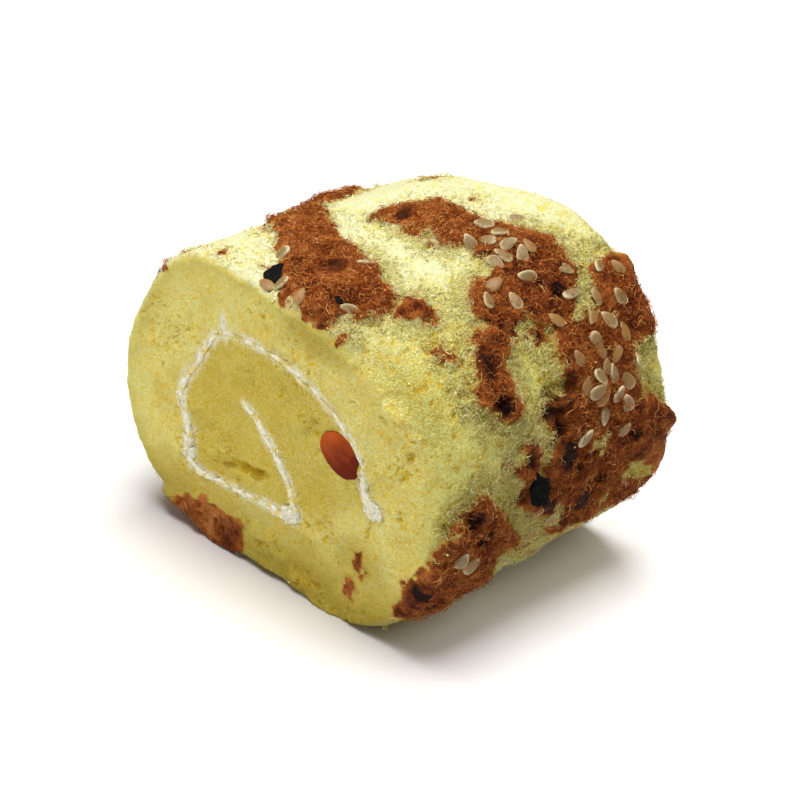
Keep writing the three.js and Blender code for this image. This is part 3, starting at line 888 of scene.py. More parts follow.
class Paint:
    """One material and its nodes."""

    def __init__(self, name: str) -> None:
        """Starts an empty material.

        Args:
            name: The material's name.
        """
        self.material = bpy.data.materials.new(name)
        self.material.use_nodes = True
        self.tree = self.material.node_tree
        self.tree.nodes.clear()

    def node(self, kind: str, settings: dict[str, object], inputs: Inputs) -> bpy.types.Node:
        """Adds a node.

        Args:
            kind: The node's type.
            settings: Its settings, and under "stops" a ramp's places and colours.
            inputs: Numbers, colours or values for its inputs, by number or name.

        Returns:
            The node.
        """
        made = self.tree.nodes.new(kind)
        for key, value in settings.items():
            if key != "stops":
                setattr(made, key, value)
        for i, (place, colour) in enumerate(settings.get("stops", ())):
            stops = made.color_ramp.elements
            stop = stops[i] if i < len(stops) else stops.new(place)
            stop.position, stop.color = place, colour
        for key, value in inputs.items():
            if isinstance(value, Flow):
                self.tree.links.new(value.socket, made.inputs[key])
            else:
                made.inputs[key].default_value = value
        return made

    def maths(self, operation: str, first: Flow | float, second: Flow | float) -> Flow:
        """A Math node on two values."""
        made = self.node("ShaderNodeMath", {"operation": operation}, {0: first, 1: second})
        return Flow(self, made.outputs[0])

    def blend(self, share: Flow | float, start: Flow | Colour, end: Flow | Colour) -> Flow:
        """A colour between two others."""
        made = self.node("ShaderNodeMix", {"data_type": "RGBA"}, {0: share, 6: start, 7: end})
        return Flow(self, made.outputs[2])

    def tinted(self, share: Flow | float, base: Flow, tint: Colour) -> Flow:
        """A colour multiplied by a tint, as far as the share says."""
        settings = {"data_type": "RGBA", "blend_type": "MULTIPLY"}
        made = self.node("ShaderNodeMix", settings, {0: share, 6: base, 7: tint})
        return Flow(self, made.outputs[2])

    def value(self, name: str) -> Flow:
        """A number stored at the mesh's points."""
        made = self.node("ShaderNodeAttribute", {"attribute_name": name}, {})
        return Flow(self, made.outputs["Fac"])

    def place(self) -> Flow:
        """Places on the object, in metres."""
        return Flow(self, self.node("ShaderNodeTexCoord", {}, {}).outputs["Object"])

    def noise(self, size: float, detail: float = 2.0, twist: float = 0.0) -> Flow:
        """Noise from 0 to 1 with features of a size in millimetres.

        Args:
            size: Size of the largest features.
            detail: How many finer layers it has.
            twist: How far it is distorted.

        Returns:
            The noise.
        """
        inputs = {"Vector": self.place(), "Scale": 1 / (size * MM), "Detail": detail}
        made = self.node("ShaderNodeTexNoise", {}, {**inputs, "Distortion": twist})
        return Flow(self, made.outputs[0])

    def even_noise(self, size: float, detail: float = 2.0, twist: float = 0.0) -> Flow:
        """Noise spread over the whole way from 0 to 1, with the arguments of noise."""
        return self.noise(size, detail, twist).rising(0.3, 0.7)

    def curls(self, size: float, twist: float) -> Flow:
        """Thin curly lines: 1 along each line and 0 between them.

        Args:
            size: Spacing of the lines in millimetres.
            twist: How curly they are.

        Returns:
            The pattern.
        """
        folded = abs(self.noise(size, detail=1.0, twist=twist) - 0.5)
        return 1 - folded.rising(0.0, 0.14)

    def bump(self, height: Flow, depth: float) -> Flow:
        """Surface relief from a height from 0 to 1.

        Args:
            height: The height.
            depth: What a height of 1 stands for, in millimetres.

        Returns:
            The normal.
        """
        inputs = {"Height": height, "Distance": depth * MM, "Strength": 1.0}
        return Flow(self, self.node("ShaderNodeBump", {}, inputs).outputs[0])

    def surface(self, inputs: Inputs) -> Material:
        """Ends the material with a surface shader.

        Args:
            inputs: Values for the shader's inputs.

        Returns:
            The material.
        """
        shader = self.node("ShaderNodeBsdfPrincipled", {}, inputs)
        output = self.node("ShaderNodeOutputMaterial", {}, {})
        self.tree.links.new(shader.outputs[0], output.inputs[0])
        return self.material


# --- Finishes ---


@dataclass(frozen=True)
class FlossFinish:
    """Colours of browned, matted floss."""

    char: Colour = shade(34, 11, 4)
    dark: Colour = shade(98, 34, 10)
    middle: Colour = shade(172, 90, 32)
    light: Colour = shade(222, 154, 84)
    fringe: Colour = shade(208, 120, 50)

    def colour(self, paint: Paint, tint: Flow, fringe: Flow) -> Flow:
        """Floss colour.

        Args:
            paint: The material.
            tint: From 0, darkest where charred and where pits get painted shade, to 1, lightest.
            fringe: 1 at a patch's thin orange edge.

        Returns:
            The colour.
        """
        stops = ((0.0, self.char), (0.32, self.dark), (0.66, self.middle), (1.0, self.light))
        made = paint.node("ShaderNodeValToRGB", {"stops": stops}, {0: tint})
        return paint.blend(fringe, Flow(paint, made.outputs[0]), self.fringe)


@dataclass(frozen=True)
class CrumbTone:
    """Colours of sponge crumb: its cell walls and the pores between them."""

    wall: Colour
    # The pores' deeper yellow is partly the crumb's own colour and partly painted light, the saturated
    # glow of light scattered inside them.
    pore: Colour


@dataclass(frozen=True)
class SpongeFinish:
    """Airy sponge: pale cell walls, deeper yellow pores, and floss baked into it."""

    # Each tone's pore colour is partly painted light: the glow of light scattered inside the pores.
    skin: CrumbTone = CrumbTone(shade(218, 222, 192), shade(215, 206, 104))
    flank: CrumbTone = CrumbTone(shade(221, 225, 140), shade(214, 177, 12))
    face: CrumbTone = CrumbTone(shade(231, 235, 162), shade(233, 199, 14))
    core: CrumbTone = CrumbTone(shade(214, 207, 114), shade(207, 177, 30))
    ochre: Colour = shade(236, 206, 84)
    # Painted shade on the flank's sponge beside the floss and just behind the near rim.
    shaded: Colour = shade(192, 182, 156)
    # Painted shade, laid on the sponge towards the table and on two places of the near face.
    painted_shade_tint: Colour = shade(206, 196, 150)
    calm: Colour = shade(239, 238, 232)
    edge: Colour = shade(208, 199, 104)
    stain: Colour = shade(206, 150, 66)
    film: Colour = shade(238, 234, 200)
    floss: FlossFinish = FlossFinish()

    def _tone(self, paint: Paint, level: Flow, tone: CrumbTone) -> Flow:
        """Colour of a crumb at a level from 0, deep in a pore, to 1, on a wall."""
        return paint.blend(level, tone.pore, tone.wall)

    def material(self) -> Material:
        """Builds the sponge material from the values stored on the mesh.

        Returns:
            The material.
        """
        paint = Paint("sponge_crumb")
        wall, cut, core = (paint.value(k) for k in ("wall", "cut", "core"))
        browned, soaked, char = (paint.value(k) for k in ("browned", "soaked", "char"))
        curl = paint.curls(0.62, twist=1.4)
        fine = paint.even_noise(0.27, detail=2, twist=0.8)
        mottle = paint.even_noise(2.2, detail=3)
        broad = paint.even_noise(6.5, detail=2)
        fluffy = paint.value("fluffy")
        airy = wall * 0.72 + curl * (0.34 + fluffy * 0.2) + fine * 0.44 + mottle * 0.26
        airy = (airy - fluffy * 0.08 - 0.5).rising(0.0, 1.0)
        ripe = paint.value("ripe")
        pale, warm = self._tone(paint, airy, self.skin), self._tone(paint, airy, self.flank)
        plain = paint.blend(ripe, pale, warm)
        # Painted shade on the flank's sponge beside the floss and just behind the near rim.
        plain = paint.tinted(fluffy * ripe * 0.75, plain, self.shaded)
        dense = (wall * 0.7 + fine * 0.55 + curl * 0.34 + mottle * 0.26 - 0.52).rising(0.0, 1.0)
        outer, heart = self._tone(paint, dense, self.face), self._tone(paint, dense, self.core)
        crumb = paint.blend(core, outer, heart)
        crumb = paint.tinted(broad * 0.3 + mottle * 0.3, crumb, self.ochre)
        crumb = paint.blend(paint.value("glow") * 0.5, crumb, self.edge)
        film = (paint.value("film") + fine * 0.5 - 0.3).rising(0.0, 0.7)
        crumb = paint.blend(film, crumb, self.film)
        inside = paint.blend((cut + (fine - 0.5) * 0.25).rising(0.2, 0.8), plain, crumb)
        # Painted shade: the sponge is darker towards the table and on two places of the near face.
        inside = paint.tinted(paint.value("low"), inside, self.painted_shade_tint)
        inside = paint.tinted(1 - ripe, inside, self.calm)
        oily = (soaked + fine * 0.35 + mottle * 0.2 - 0.4).rising(0.0, 0.9)
        gilt = paint.blend(oily, inside, self.stain)
        fibre = paint.curls(0.34, twist=2.4)
        patchy = paint.even_noise(1.5, detail=3)
        amber = paint.value("amber")
        tint = 0.02 + fibre * 0.44 + fine * 0.22 + patchy * 0.3 + mottle * 0.26
        # The char value darkens the floss where it is charred, and in its pits as painted shade.
        tint = tint + amber * 0.34 - char * 0.8
        fringe = (1 - paint.value("deep")) * (0.25 + patchy * 0.5) + amber * 0.25
        brown = self.floss.colour(paint, tint, fringe)
        edge = (browned + (fine - 0.5) * 0.5).rising(0.3, 0.7)
        grain = (curl * 0.5 + fine * 0.5) * (1 - browned * 0.2)
        grain = grain * (0.3 + ripe * 0.4 + browned * 0.3) + fibre * browned * 0.5
        relief = paint.bump(grain, depth=0.3)
        return paint.surface({
            "Base Color": paint.blend(edge, gilt, brown), "Roughness": 0.9 - browned * 0.25,
            "Normal": relief, "Subsurface Weight": 0.12, "Subsurface Radius": (1.0, 0.75, 0.3),
            "Subsurface Scale": 0.6 * MM, "Specular IOR Level": 0.1,
        })


@dataclass(frozen=True)
class StrandFinish:
    """Fine strands, pale sponge or browned floss."""

    name: str
    stops: tuple[tuple[float, Colour], ...]
    roughness: float

    def material(self) -> Material:
        """Builds the strands' material from each strand's tint.

        Returns:
            The material.
        """
        paint = Paint(self.name)
        tint = paint.value("tint") + (paint.noise(0.4) - 0.5) * 0.5
        colour = paint.node("ShaderNodeValToRGB", {"stops": self.stops}, {0: tint})
        return paint.surface({
            "Base Color": Flow(paint, colour.outputs[0]), "Roughness": self.roughness,
            "Specular IOR Level": 0.1,
        })


@dataclass(frozen=True)
class CreamFinish:
    """Soft white cream, with sponge showing where it is thin."""

    white: Colour = shade(228, 229, 212)
    tinted: Colour = shade(214, 207, 156)
    thin: Colour = shade(232, 213, 128)

    def material(self) -> Material:
        """Builds the cream's material from its stored thinness.

        Returns:
            The material.
        """
        paint = Paint("cream")
        stir = paint.even_noise(0.6, detail=3)
        colour = paint.blend(stir * 0.7, self.white, self.tinted)
        thin = (paint.value("thin") + (stir - 0.5) * 0.6).rising(0.24, 0.7)
        colour = paint.blend(thin, colour, self.thin)
        relief = paint.bump(paint.noise(0.35, detail=3), depth=0.12)
        return paint.surface({
            "Base Color": colour, "Roughness": 0.5 + stir * 0.2, "Normal": relief,
            "Subsurface Weight": 0.25, "Subsurface Radius": (1.0, 0.95, 0.8),
            "Subsurface Scale": 0.6 * MM, "Specular IOR Level": 0.3,
        })


@dataclass(frozen=True)
class MorselFinish:
    """Glossy, deep amber-brown filling, with a painted highlight along its upper left side."""

    heart: Colour = shade(98, 26, 6)
    # Painted highlight colour, laid along the morsel's upper left side.
    light: Colour = shade(176, 80, 26)

    def material(self) -> Material:
        """Builds the morsel's material from its stored lightness, a painted highlight.

        Returns:
            The material.
        """
        paint = Paint("filling_morsel")
        cloud = paint.even_noise(1.4, detail=3)
        pale = (paint.value("light") + (cloud - 0.5) * 0.2).rising(0.15, 1.0)
        relief = paint.bump(paint.noise(0.6, detail=2), depth=0.06)
        return paint.surface({
            "Base Color": paint.blend(pale, self.heart, self.light), "Roughness": 0.45 + cloud * 0.14,
            "Normal": relief, "Subsurface Weight": 0.12, "Subsurface Radius": (1.0, 0.35, 0.1),
            "Subsurface Scale": 0.8 * MM, "Specular IOR Level": 0.04,
        })


@dataclass(frozen=True)
class SeedFinish:
    """Sesame: a greyish-cream heart, a paler rim, and amber where oil soaked in."""

    heart: Colour = shade(124, 104, 66)
    rim: Colour = shade(198, 184, 142)
    amber: Colour = shade(140, 98, 44)

    def material(self) -> Material:
        """Builds the seeds' material from their stored rim and soak values.

        Returns:
            The material.
        """
        paint = Paint("sesame")
        streak = paint.noise(0.5, detail=3)
        clean = paint.blend((paint.value("rim") + streak * 0.4).rising(0.4, 1.1), self.heart, self.rim)
        soak = (paint.value("soak") + (streak - 0.5) * 0.5).rising(0.15, 1.15)
        relief = paint.bump(paint.noise(0.3, detail=2), depth=0.05)
        return paint.surface({
            "Base Color": paint.blend(soak, clean, self.amber), "Roughness": 0.38 + streak * 0.15,
            "Normal": relief, "Subsurface Weight": 0.1, "Subsurface Radius": (1.0, 0.95, 0.8),
            "Subsurface Scale": 0.5 * MM, "Specular IOR Level": 0.32,
        })


@dataclass(frozen=True)
class SeaweedFinish:
    """Nearly black seaweed with a faint green edge."""

    black: Colour = shade(16, 17, 16)
    green: Colour = shade(34, 38, 28)

    def material(self) -> Material:
        """Builds the seaweed's material.

        Returns:
            The material.
        """
        paint = Paint("seaweed")
        vein = paint.noise(0.5, detail=4)
        relief = paint.bump(vein, depth=0.15)
        return paint.surface({
            "Base Color": paint.blend(vein.rising(0.5, 0.75), self.black, self.green),
            "Roughness": 0.7 + vein * 0.3, "Normal": relief, "Specular IOR Level": 0.04,
        })


@dataclass(frozen=True)
class TableFinish:
    """Plain white table, very slightly uneven in tone."""

    white: Colour = shade(250, 249, 248)
    cool: Colour = shade(247, 247, 246)

    def material(self) -> Material:
        """Builds the table's material.

        Returns:
            The material.
        """
        paint = Paint("table")
        colour = paint.blend(paint.noise(60.0), self.white, self.cool)
        return paint.surface({"Base Color": colour, "Roughness": 0.85, "Specular IOR Level": 0.1})


# --- The sponge ---


@dataclass
class RollPoints:
    """Points of the smooth roll, and where each lies: round it, along it and on a cut."""

    points: Array
    degrees: Array
    y: Array
    cut: Array


@dataclass
class Surface:
    """Points of the finished sponge skin and faces, for what is rooted on them."""

    points: Array
    normals: Array
    masks: dict[str, Array]

    def draw(self, weights: Array, count: int, rng: Rng) -> Array:
        """Picks points at random by weight.

        Args:
            weights: A weight for each point.
            count: How many to pick.
            rng: Source of the random draw.

        Returns:
            Numbers of the picked points.
        """
        return rng.choice(len(self.points), count, p=weights / weights.sum())


@dataclass
class SpongeRoll:
    """The rolled sponge sheet: a fine closed mesh with pores, floss relief and a cream slot."""

    form: RollForm
    cream: CreamLayer
    rows: int = 160
    face_rings: int = 88
    face_recess: float = 0.22
    recess_reach: float = 1.4
    wrap_reach: float = 3.5
    bare_cut: float = 6.0
    skin_pore: float = 1.0
    fine_pore: float = 0.55
    crumb_pore: float = 0.7
    pore_depth: float = 0.26
    fine_depth: float = 0.16
    crumb_depth: float = 0.24
    tuft_height: float = 0.4
    wave_height: float = 0.5
    clump_height: float = 0.55
    ridge_height: float = 0.16
    lump_height: float = 0.4
    pit_depth: float = 0.6
    seam_width: float = 0.32
    seam_depth: float = 0.6
    finish: SpongeFinish = SpongeFinish()

    def _face_grid(self, side: int) -> tuple[Array, Array, Array]:
        """Base points of a cut face on a square grid bent to the section's outline.

        Args:
            side: -1 for the near face, 1 for the far one.

        Returns:
            Points on the grid, share of the way out, and direction of each point.
        """
        n = self.face_rings
        a, b = np.meshgrid(np.arange(-n, n + 1), np.arange(-n, n + 1), indexing="ij")
        ring = np.maximum(np.abs(a), np.abs(b))
        step = np.where(a == -ring, 4 * ring - b, 6 * ring + a)
        step = np.where(a == ring, b, np.where(b == ring, 2 * ring - a, step))
        degrees = (360 * step / np.maximum(8 * ring, 1)).ravel() % 360
        out = (ring / n).ravel()
        level = np.full_like(degrees, side * self.form.half)
        rim = self.form.near_rim(degrees) if side < 0 else np.full_like(degrees, self.form.far_rim)
        edge = self.form.skin_point(degrees, level, rim)
        middle = self.form.centre(level)
        points = middle + (edge - middle) * out[:, None]
        width = np.linalg.norm(edge - middle, axis=1)
        recess = self.face_recess * ease((1 - out) * width / self.recess_reach)
        points[:, 1] -= side * recess
        return points, out, degrees

    def _base(self) -> tuple[Array, RollPoints]:
        """The smooth roll.

        Returns:
            Its quads and its points.
        """
        n = self.face_rings
        columns = 8 * n
        share = np.linspace(0, 1, self.rows + 1).repeat(columns)
        degrees = np.tile(np.arange(columns) * 360 / columns, self.rows + 1)
        y, inset = self.form.wrap(degrees, share)
        cut = inset / np.where(y < 0, self.form.near_rim(degrees), self.form.far_rim)
        parts = [(self.form.skin_point(degrees, y, inset), degrees, y, cut)]
        quads = [tube_quads(self.rows, columns)]
        start = len(y)
        for side in (-1, 1):
            grid, out, turned = self._face_grid(side)
            inner = out < 1
            count = int(inner.sum())
            number = np.zeros(len(grid), int)
            number[inner] = start + np.arange(count)
            edge_row = 0 if side < 0 else self.rows * columns
            number[~inner] = edge_row + np.rint(turned[~inner] * columns / 360).astype(int) % columns
            quads.append(grid_quads(number.reshape(2 * n + 1, 2 * n + 1))[:, ::-side])
            parts.append((grid[inner], turned[inner], grid[inner, 1], np.ones(count)))
            start += count
        return np.vstack(quads), RollPoints(*(np.concatenate(part) for part in zip(*parts)))

    def _browning(self, base: RollPoints) -> tuple[Array, Array]:
        """How browned each point is, and how near it lies to something browned.

        Args:
            base: The roll's points.

        Returns:
            Browning from 0 to 1, and millimetres into a browned place, less than 0 outside.
        """
        form, points = self.form, base.points
        warp = [
            soft_noise(points, 1.9, 40 + k) + 1.1 * rough_noise(points, 0.9, 44 + k) for k in (0, 1)
        ]
        degrees = base.degrees + warp[0] / form.per_degree
        y = base.y + warp[1]
        depth = form.floss_depth(degrees, y)
        for at, along, radius in SKIN_SPECKS:
            depth = np.maximum(depth, radius - 1.25 * form.reach(at, along, degrees, y))
        for at, along, radius in WINDOWS:
            pale = 0.75 * radius + 0.8 * warp[1] - form.reach(at, along, degrees, y)
            depth = np.where(pale > -radius, np.minimum(depth, -pale), depth)
        spill = np.zeros(len(y))
        for at, ends, full in SPILLS:
            spill += ramp(-np.abs(turn_between(at, base.degrees)), -ends, -full)
        depth -= self.bare_cut * base.cut ** (2 + 4 * spill)
        x, z = (flat + push for flat, push in zip(form.to_section(points), warp))
        near = base.y < -form.half + self.wrap_reach
        for sx, sz, wide, tall in FACE_SPECKS:
            spot = (1 - np.hypot((x - sx) / wide, (z - sz) / tall)) * min(wide, tall)
            depth = np.where(near, np.maximum(depth, spot), depth)
        for outline in (FACE_FLAP, FACE_CORNER):
            wrapped = depth_in(np.array(outline), x, z)
            depth = np.where(near & (base.cut > 0.02), np.maximum(depth, wrapped), depth)
        return ramp(depth, -0.45, 0.35), depth

    def _pores(self, points: Array, size: float, seed: int, share: float) -> Array:
        """Open pores: 0 on the walls, up to 1 in the middle of an open cell.

        Args:
            points: The roll's points.
            size: Size of a cell.
            seed: Which cells.
            share: Share of the cells that are open.

        Returns:
            Openness of each point.
        """
        shift = np.stack([soft_noise(points, 2.2 * size, seed + 20 + k) for k in range(3)], axis=-1)
        gap, label = cell_noise(points + 0.35 * size * shift, size, seed)
        return ramp(gap, 0.06, 0.55) * ramp(label, 1 - share - 0.2, 1.0)

    def _face_holes(self, base: RollPoints) -> Array:
        """Depth of the holes torn in the near face.

        Args:
            base: The roll's points.

        Returns:
            The depth at each point.
        """
        x, z = self.form.to_section(base.points)
        x = x + 1.1 * rough_noise(base.points, 1.3, 71)
        z = z + 1.1 * rough_noise(base.points, 1.3, 72)
        depth = np.zeros(len(x))
        near = base.y < 0
        for hx, hz, wide, tall, turn, deep in FACE_HOLES:
            c, s = math.cos(math.radians(turn)), math.sin(math.radians(turn))
            u, v = (x - hx) * c + (z - hz) * s, (z - hz) * c - (x - hx) * s
            depth = np.maximum(depth, near * deep * ease(1.25 * (1 - np.hypot(u / wide, v / tall))))
        return depth

    def _seam(self, points: Array) -> Array:
        """Depth of the crease where the sheet's free end meets the roll.

        Args:
            points: The roll's points.

        Returns:
            The depth at each point.
        """
        x, z = self.form.to_section(points, points[:, 1])
        wander = 0.35 * soft_noise(points, 2.2, 75)
        gap = SectionLine(SEAM).gap(x + wander, z) / self.seam_width
        openness = np.clip(0.45 + 0.8 * soft_noise(points, 3.1, 77), 0, 1)
        return self.seam_depth * openness * np.exp(-(gap**2))

    def _displace(self, base: RollPoints, browned: Array, near_brown: Array) -> tuple[Array, Array]:
        """Relief of pores, fluff, floss and crumb.

        Args:
            base: The roll's points.
            browned: Browning of each point.
            near_brown: Millimetres into a floss patch.

        Returns:
            Height to add along the normal, and how high each point lies from 0 to 1.
        """
        form, points, cut = self.form, base.points, base.cut
        fluffy = ramp(near_brown, -5.0, -0.3) * (1 - browned) + 0.3
        large = self._pores(points, self.skin_pore, 3, 0.35)
        fine = self._pores(points, self.fine_pore, 11, 0.7)
        crumb = self._pores(points, self.crumb_pore, 17, 0.45)
        grain = rough_noise(points, 0.7, 23)
        tuft = rough_noise(points, 1.9, 27, 2)
        coarse = 0.3 + ramp(rough_noise(points, 7.0, 33, 2), -0.1, 0.3)
        skin = -self.pore_depth * large - self.fine_depth * fine
        skin = skin + fluffy * (0.14 * grain + self.tuft_height * tuft)
        skin *= 1 - 0.6 * baked_smooth(base.degrees)
        face = -self.crumb_depth * crumb * coarse - 0.1 * fine + 0.12 * grain
        clump = self.clump_height * coarse * rough_noise(points, 2.4, 35, 2)
        face += self.wave_height * rough_noise(points, 6.0, 31, 2) + clump
        tears = self._face_holes(base) + self._seam(points)
        ridge = 1 - np.abs(rough_noise(points, 0.9, 51, 3)) * 2.4
        lump = rough_noise(points, 2.4, 57, 2)
        pit = self._pores(points, 1.4, 61, 0.22)
        floss = self.ridge_height * ridge + self.lump_height * lump - self.pit_depth * pit
        height = skin + (face - skin) * ease(cut * 1.2)
        height = height + (floss - height) * browned - tears
        for *place, depth in PITS:
            height -= depth * form.spot(place, base.degrees, base.y, 1.2)
        for *place, rise in LUMPS:
            height += rise * form.spot(place, base.degrees, base.y)
        skin_wall = 1 - np.clip(0.7 * large + 0.5 * fine, 0, 1)
        face_wall = 1 - np.clip(0.9 * crumb * coarse + 0.4 * fine, 0, 1)
        skin_wall = skin_wall + 0.5 * fluffy * tuft
        wall = skin_wall + (face_wall - skin_wall) * cut + 0.25 * grain
        wall = np.clip(wall - 0.8 * tears, 0, 1)
        wall = wall + (np.clip(0.5 + 0.6 * ridge - 0.8 * pit, 0, 1) - wall) * browned
        return height, wall

    def _values(self, base: RollPoints, near_brown: Array) -> dict[str, Array]:
        """Where the sponge is charred, amber, soaked, fluffy or yellower, and where shade is painted on
        it.

        Args:
            base: The roll's points.
            near_brown: Millimetres into a browned place.

        Returns:
            A number from 0 to 1 for each point, by the name that the finish reads.
        """
        form, points = self.form, base.points
        degrees, y, cut = base.degrees, base.y, base.cut
        spread = rough_noise(points, 3.2, 81)
        char = 0.22 + 0.4 * rough_noise(points, 2.8, 85)
        for place in CHARRED:
            char = np.maximum(char, 1.1 * form.spot(place, degrees, y, 1.3))
        # Painted shade: each pit is darkened through the char value.
        for *place, _ in PITS:
            char = np.maximum(char, 1.4 * form.spot(place, degrees, y, 1.5))
        amber, shaded = np.zeros(len(y)), np.zeros(len(y))
        for *place, share in AMBER:
            amber = np.maximum(amber, share * form.spot(place, degrees, y, 1.4))
        x, z = form.to_section(points, points[:, 1])
        # Painted shade on two places of the near face's crumb.
        for sx, sz, wide, tall, share in FACE_SHADE:
            spot = ease(1.4 * (1 - np.hypot((x - sx) / wide, (z - sz) / tall)))
            shaded = np.maximum(shaded, share * spot * cut * (y < 0))
        edge = form.ring_value(form.near_radii, degrees) - np.hypot(x, z)
        flank = ramp(-np.abs(turn_between(degrees, 15.0)), -62.0, -22.0)
        back = 0.55 * ramp(degrees, 132.0, 158.0) * (1 - ramp(degrees, 290.0, 312.0)) * (1 - cut)
        # Painted shade: a band of the right flank just behind the near rim, darkened through the fluffy
        # value.
        rim = 0.8 * ramp(-y - form.half, -7.5, -2.5)
        rim = rim * ramp(-np.abs(turn_between(degrees, 52.0)), -34.0, -18.0)
        return {
            "amber": amber,
            "char": np.clip(char, 0, 1),
            "soaked": np.clip(ramp(near_brown, -1.9, 0.3) * (0.35 + 0.9 * spread), 0, 1),
            "core": ramp(depth_in(np.array(OUTER_CREAM), x, z), -2.5, 2.5),
            "deep": ramp(near_brown, -0.2, 1.6),
            # The fluffy value also carries the painted shade behind the near rim.
            "fluffy": np.maximum(ramp(near_brown, -4.5, -0.5), rim),
            # Painted shade: darker towards the table, and on the near face's shaded places.
            "low": np.maximum(ramp(-points[:, 2], -17.0, -3.0), shaded),
            "ripe": np.maximum(flank, back),
            "glow": ramp(-edge, -4.5, -1.0),
            "film": self.cream.film(x, z, points) * ramp(cut, 0.9, 1.0),
        }

    def build(self, slot: Sequence[Piece]) -> tuple[Piece, Surface]:
        """Makes the sponge with its pores and cuts the filling's slot out of it.

        Args:
            slot: Closed solids to cut away, which are used up.

        Returns:
            The object, which stands for the plain sponge, and its surface before the cut.
        """
        quads, base = self._base()
        browned, near_brown = self._browning(base)
        height, wall = self._displace(base, browned, near_brown)
        shell = Shell(base.points, quads)
        smooth = shell.to_object("smooth_roll")
        normals = read_normals(smooth)
        bpy.data.meshes.remove(smooth.data)
        shell.points = base.points + normals * height[:, None]
        shell.points[:, 2] = np.maximum(shell.points[:, 2], 0)
        shell.values = {"wall": wall, "browned": browned, "cut": base.cut}
        shell.values.update(self._values(base, near_brown))
        sponge = shell.to_object("sponge_roll")
        for tool in slot:
            carve(sponge, tool)
        dress(sponge, self.finish.material())
        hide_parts("sponge")
        masks = {"degrees": base.degrees, "y": base.y, "near_brown": near_brown, **shell.values}
        return sponge, Surface(shell.points, normals, masks)


# --- Strands ---


@dataclass(frozen=True)
class Strands:
    """A kind of fine strand: its size, how it lies and its finish."""

    name: str
    finish: StrandFinish
    count: int
    shortest: float
    longest: float
    radius: float
    lift: float
    arch: float
    curl: float
    joints: int
    seed: int
    root_sunk: float = 0.04
    taper: float = 0.65

    def build(self, surface: Surface, weights: Array) -> Piece:
        """Roots strands all over a surface, as one joined mesh.

        Args:
            surface: What they grow on.
            weights: How densely, for each of its points.

        Returns:
            The object.
        """
        rng = np.random.default_rng(self.seed)
        root = surface.draw(weights, self.count, rng)
        out = surface.normals[root]
        side = unit(np.cross(out, rng.normal(size=out.shape)))
        ahead = unit(side * (1 - self.lift) + out * self.lift)
        across = unit(np.cross(ahead, out))
        above = np.cross(across, ahead)
        length = rng.uniform(self.shortest, self.longest, self.count)
        share = np.linspace(0, 1, self.joints + 1)[None, :]
        phase = rng.uniform(0, 2 * math.pi, self.count)[:, None]
        turns = rng.uniform(0.5, 1.4, self.count)[:, None] * 2 * math.pi
        sway = self.curl * length[:, None] * (np.sin(phase + turns * share) - np.sin(phase))
        rise = 0.45 * self.curl * length[:, None] * (np.cos(phase + turns * share) - np.cos(phase))
        rise += self.arch * length[:, None] * np.sin(math.pi * share)
        line = surface.points[root][:, None] - self.root_sunk * out[:, None]
        line = line + ahead[:, None] * (length[:, None] * share)[..., None]
        line = line + across[:, None] * sway[..., None] + above[:, None] * rise[..., None]
        girth = self.radius * rng.uniform(0.7, 1.3, self.count)[:, None] * (1 - self.taper * share**2)
        turn = (np.arange(3) * 2 * math.pi / 3)[None, :, None]
        ring = across[:, None] * np.cos(turn) + above[:, None] * np.sin(turn)
        points = line[:, :, None] + ring[:, None] * girth[..., None, None]
        points[..., 2] = np.maximum(points[..., 2], 0)
        tint = np.clip(rng.normal(0.45, 0.22, self.count), 0, 1)
        values = {"tint": np.repeat(tint, 3 * (self.joints + 1))}
        made = Shell(points.reshape(-1, 3), *self._faces(), values).to_object(self.name)
        dress(made, self.finish.material())
        return made

    def _faces(self) -> tuple[Array, Array]:
        """Quads round all strands, and triangles over their ends.

        Returns:
            The quads and the triangles.
        """
        starts = (np.arange(self.count) * 3 * (self.joints + 1))[:, None, None]
        quads = starts + tube_quads(self.joints, 3)[:, (0, 3, 2, 1)]
        ends = starts + np.array([[2, 1, 0], np.arange(3) + 3 * self.joints])
        return quads.reshape(-1, 4), ends.reshape(-1, 3)


# --- Filling ---


